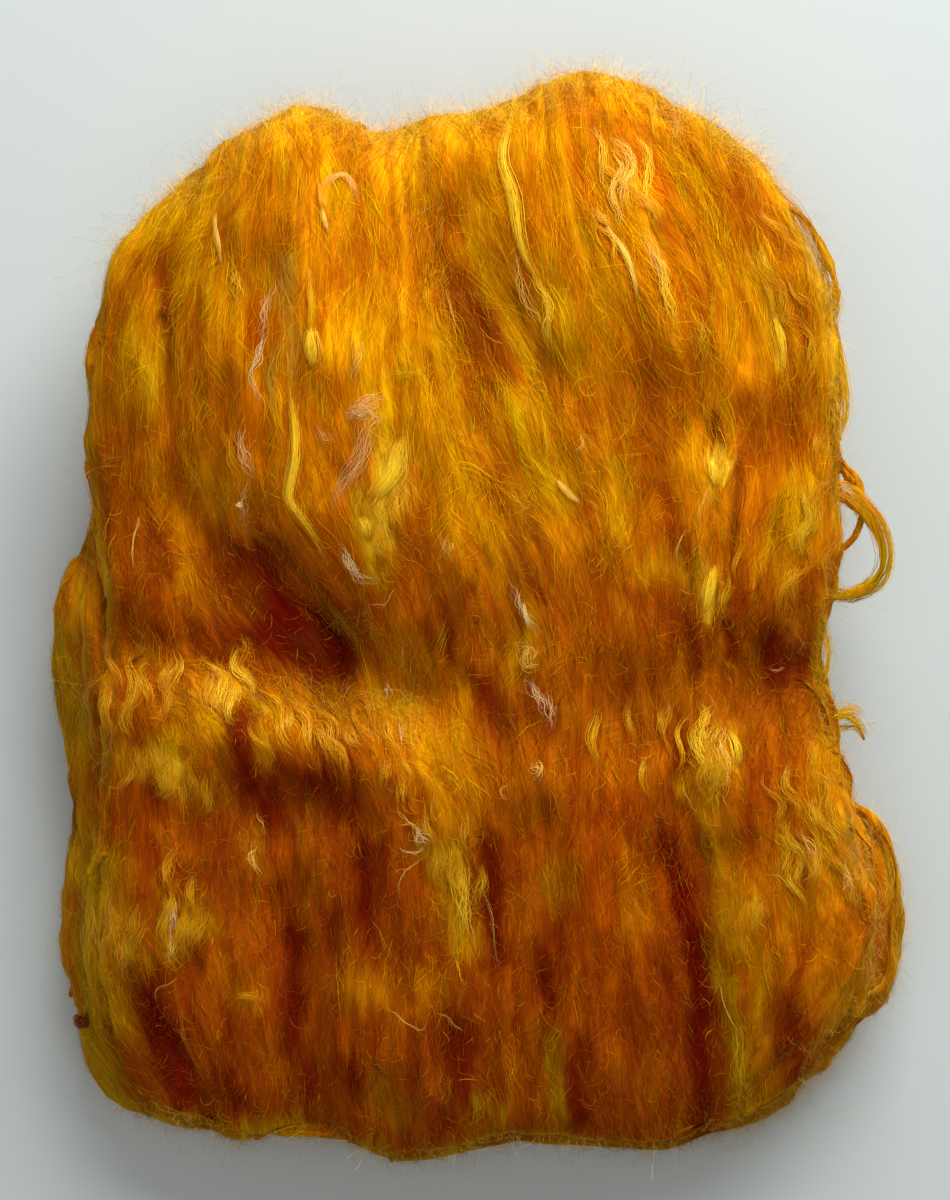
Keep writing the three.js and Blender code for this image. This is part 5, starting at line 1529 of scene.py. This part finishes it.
def silk(name, gloss=0.0, felt=False):
    """Dyed silk: the colour of each fibre, finer streaks along it, and a soft sheen.

    Felt is the close mat of fibres below: streaks of several widths that cross each other.
    """
    material = bpy.data.materials.new("silk_" + name)
    material.use_nodes = True
    tree = material.node_tree
    nodes, links = tree.nodes, tree.links
    shader = nodes["Principled BSDF"]
    set_inputs(shader, {
        "Specular IOR Level": 0.02 + 1.2 * gloss,
        "Specular Tint": (1.0, 0.62, 0.08, 1),
        "Sheen Weight": 0.04,
        "Sheen Roughness": 0.5,
        "Sheen Tint": (1.0, 0.45, 0.02, 1),
    })
    tint = nodes.new("ShaderNodeAttribute")
    tint.attribute_name = "tint"
    strand = nodes.new("ShaderNodeAttribute")
    strand.attribute_name = "strand"
    rows = FELT_STREAKS if felt else FIBRE_STREAKS
    streaks = product(tree, [noise_factor(tree, strand.outputs["Vector"], *row) for row in rows])
    dye_and_shade = nodes.new("ShaderNodeVectorMath")
    dye_and_shade.operation = "SCALE"
    links.new(tint.outputs["Color"], dye_and_shade.inputs[0])
    links.new(streaks, dye_and_shade.inputs["Scale"])
    links.new(dye_and_shade.outputs[0], shader.inputs["Base Color"])
    rough = nodes.new("ShaderNodeMapRange")
    set_inputs(rough, {"To Min": 0.80 - gloss, "To Max": 0.62 - gloss * 0.8})
    links.new(streaks, rough.inputs["Value"])
    links.new(rough.outputs["Result"], shader.inputs["Roughness"])
    ridge = nodes.new("ShaderNodeBump")
    strength, distance = (0.7, 0.0004) if felt else (0.25, 0.0001)
    set_inputs(ridge, {"Strength": strength, "Distance": distance})
    links.new(streaks, ridge.inputs["Height"])
    links.new(ridge.outputs["Normal"], shader.inputs["Normal"])
    return material


def body_cage(hidden=3.0):
    """Vertices and triangles of the folded solid, each triangle that shows cut in four again and again."""
    cage = bmesh.new()
    cage.from_mesh(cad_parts["batt"].data)
    bmesh.ops.remove_doubles(cage, verts=cage.verts, dist=1e-6)
    bmesh.ops.triangulate(cage, faces=cage.faces)
    for _ in range(FINER_CUTS):
        tree = BVHTree.FromBMesh(cage)
        shown = set()
        for face in cage.faces:
            start = face.calc_center_median() + CAGE_RAY_START * face.normal
            under = start.z < hidden * MM and face.normal.z < -0.5
            if not under and tree.ray_cast(start, face.normal, CAGE_RAY_REACH)[0] is None:
                shown.update(face.edges)
        bmesh.ops.subdivide_edges(cage, edges=list(shown), cuts=1, use_grid_fill=True)
        bmesh.ops.triangulate(cage, faces=cage.faces)
    vertices = np.array([v.co[:] for v in cage.verts])
    cage.verts.index_update()
    faces = np.array([[v.index for v in f.verts] for f in cage.faces])
    cage.free()
    return vertices, faces


def with_lobes(vertices, faces):
    """The skin with the lobes of its rim."""
    lobes = bmesh.new()
    for row in LOBES:
        place = Matrix.Translation(Vector(row[:3]) * MM) @ Matrix.Diagonal((*(Vector(row[3:]) * MM), 1))
        bmesh.ops.create_icosphere(lobes, subdivisions=4, radius=1, matrix=place)
    more = np.array([[v.index for v in f.verts] for f in lobes.faces]) + len(vertices)
    vertices = np.concatenate([vertices, [v.co[:] for v in lobes.verts]])
    lobes.free()
    return vertices, np.concatenate([faces, more])


def relaxed(vertices, faces, passes):
    """Vertices moved to the mean of their neighbours and back out, so that the cage's flats go."""
    edges = np.concatenate([faces[:, (0, 1)], faces[:, (1, 2)], faces[:, (2, 0)]])
    edges = np.unique(np.sort(edges, axis=1), axis=0)
    both = np.concatenate([edges, edges[:, ::-1]])
    degree = np.bincount(both[:, 0], minlength=len(vertices))[:, None]
    for share in (0.5, -0.51) * passes:
        total = np.stack(
            [np.bincount(both[:, 0], vertices[both[:, 1], k], len(vertices)) for k in range(3)], -1
        )
        vertices = vertices + share * (total / degree - vertices)
    return vertices


def face_cross(vertices, faces):
    """Normals of the faces, each twice as long as its face is large."""
    corners = vertices[faces]
    return np.cross(corners[:, 1] - corners[:, 0], corners[:, 2] - corners[:, 0])


def vertex_normals(vertices, faces):
    """Normals of the vertices, weighed by area."""
    cross = face_cross(vertices, faces)
    total = np.zeros_like(vertices)
    for corner in range(3):
        for k in range(3):
            total[:, k] += np.bincount(faces[:, corner], cross[:, k], len(vertices))
    return unit(total)


def bulged(vertices, faces):
    """The skin with its rim drawn out and its outline shifted."""
    out = vertex_normals(vertices, faces) * (1, 1, 0)
    for x, y, z, reach, push in BULGES:
        far = np.linalg.norm(vertices / MM - (x, y, z), axis=1)
        vertices = vertices + push * MM * np.exp(-((far / reach) ** 2))[:, None] * out
    for row in SHIFTS:
        weight = spot(vertices[:, 0] / MM, vertices[:, 1] / MM, row)
        vertices = vertices + weight[:, None] * np.array((row[4], row[5], 0)) * MM
    return vertices


def tufted(vertices, faces, fields):
    """The skin with its tufts: long soft ridges along the fibres, and small lumps on them."""
    normals = vertex_normals(vertices, faces)
    z = vertices[:, 2] / MM
    x, y = on_plane(vertices)
    line = fields.look_up(fields.line, x, y)
    height = fields.look_up(fields.tufts, x, y)
    lumps = grain(x / 11 + 3, y / 13, z / 13)
    height = height * rise(normals[:, 2], -0.2, 0.5) + LUMP_HEIGHT * lumps
    side_tufts = grain(y / 6, z / 14, line / 30)
    height += SIDE_TUFT_HEIGHT * side_tufts * rise(0.6 - normals[:, 2], 0, 0.5)
    height *= rise(z, 2.0, 8.0)
    moves = normals * height[:, None] * MM
    flat = unit(face_cross(vertices, faces))
    for _ in range(DAMP_PASSES):
        turned = (unit(face_cross(vertices + moves, faces)) * flat).sum(1) < FOLDED
        moves[np.unique(faces[turned])] *= DAMP
    moved = vertices + moves
    moved[:, 2] = np.maximum(moved[:, 2], 0)
    return moved, height


def batt_body(fields):
    """The folded pad itself, in place of its plain solid."""
    vertices, faces = body_cage()
    vertices = relaxed(vertices, faces, RELAX_PASSES)
    vertices[:, 2] = np.maximum(vertices[:, 2] - vertices[:, 2].min(), 0)
    vertices, faces = with_lobes(bulged(vertices, faces), faces)
    vertices, height = tufted(vertices, faces, fields)
    mesh = bpy.data.meshes.new("batt_body")
    build_mesh(mesh, vertices, np.zeros((0, 4), int), faces)
    z = vertices[:, 2] / MM
    x, y = on_plane(vertices)
    line = fields.look_up(fields.line, x, y)
    strand = np.stack([line + 0.4 * z, y + 0.5 * z, 0.1 * z], -1)
    add_attribute(mesh, "strand", "FLOAT_VECTOR", strand)
    # Painted glow of the rim, blended over the silk's colour.
    rim = rim_glow_share(vertex_normals(vertices, faces))[:, None]
    colour = np.ones((len(vertices), 4))
    dye_shade_and_glow = blend(fields.look_up(fields.colour, x, y), rim_glow_colour(x, y), rim)
    # Painted shade in the hollows between the tufts, lighter on their tops.
    colour[:, :3] = toned(dye_shade_and_glow, BODY_SHADE * height + BODY_TONE)
    add_attribute(mesh, "tint", "FLOAT_COLOR", colour)
    piece = new_piece("batt_body", mesh)
    piece.data.materials.append(silk("batt_body", felt=True))
    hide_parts("batt")
    return Skin(vertices, faces)


def floor():
    """The plain pale floor."""
    half = FLOOR_HALF
    corners = [(-half, -half), (half, -half), (half, half), (-half, half)]
    mesh = bpy.data.meshes.new("floor")
    mesh.from_pydata([(x, y, 0) for x, y in corners], [], [(0, 1, 2, 3)])
    plane = bpy.data.objects.new("floor", mesh)
    bpy.context.scene.collection.objects.link(plane)
    material = bpy.data.materials.new("pale_floor")
    material.use_nodes = True
    shader = material.node_tree.nodes["Principled BSDF"]
    set_inputs(shader, {"Base Color": FLOOR_COLOUR, "Roughness": 0.7})
    plane.data.materials.append(material)


def area_light(name, place, size, power, colour):
    """A soft square light."""
    data = bpy.data.lights.new(name, "AREA")
    data.energy = power
    data.size = size
    data.color = colour
    light = bpy.data.objects.new(name, data)
    light.location = Vector(place)
    light.rotation_euler = (Vector(LIT_SPOT) - light.location).to_track_quat("-Z", "Y").to_euler()
    bpy.context.scene.collection.objects.link(light)


def lights():
    """Daylight from a big window beyond the upper fold, and a weak fill."""
    for row in LIGHTS:
        area_light(*row)
    world = bpy.data.worlds.new("room")
    world.use_nodes = True
    set_inputs(world.node_tree.nodes["Background"], {"Color": SKY_COLOUR, "Strength": SKY_STRENGTH})
    bpy.context.scene.world = world


def camera():
    """Straight above the batt, its top of the frame towards the upper fold."""
    data = bpy.data.cameras.new("camera")
    data.sensor_width = SENSOR
    data.lens = SENSOR * CAMERA_HEIGHT / FRAME_HEIGHT
    data.clip_start = 0.05
    data.clip_end = 10
    seen_from = bpy.data.objects.new("camera", data)
    x, y = FRAME_MIDDLE
    seen_from.location = Vector((x, y, MIDDLE_PLANE + CAMERA_HEIGHT)) * MM
    bpy.context.scene.collection.objects.link(seen_from)
    bpy.context.scene.camera = seen_from


bpy.context.scene.view_settings.view_transform = "Standard"
camera()
lights()
floor()
random = np.random.default_rng(SEED)
fields = Fields()
skin = batt_body(fields)
for cover_row in COVERS:
    cover(skin, fields, cover_row, random)
lock_piece("shown_locks", [lock_strands(skin, fields, random, row) for row in LOCKS], random)
lock_piece("tresses", [m for row in TRESSES for m in tresses(skin, fields, random, row)], random)
lock_piece("rim_arches", [arch_strands(random, row) for row in ARCHES], random)
lock_piece("neps", [nep_strands(skin, random, row) for row in NEPS], random, sides=3)
for fuzz_row in FUZZ:
    rim_fuzz(skin, fields, fuzz_row, random)
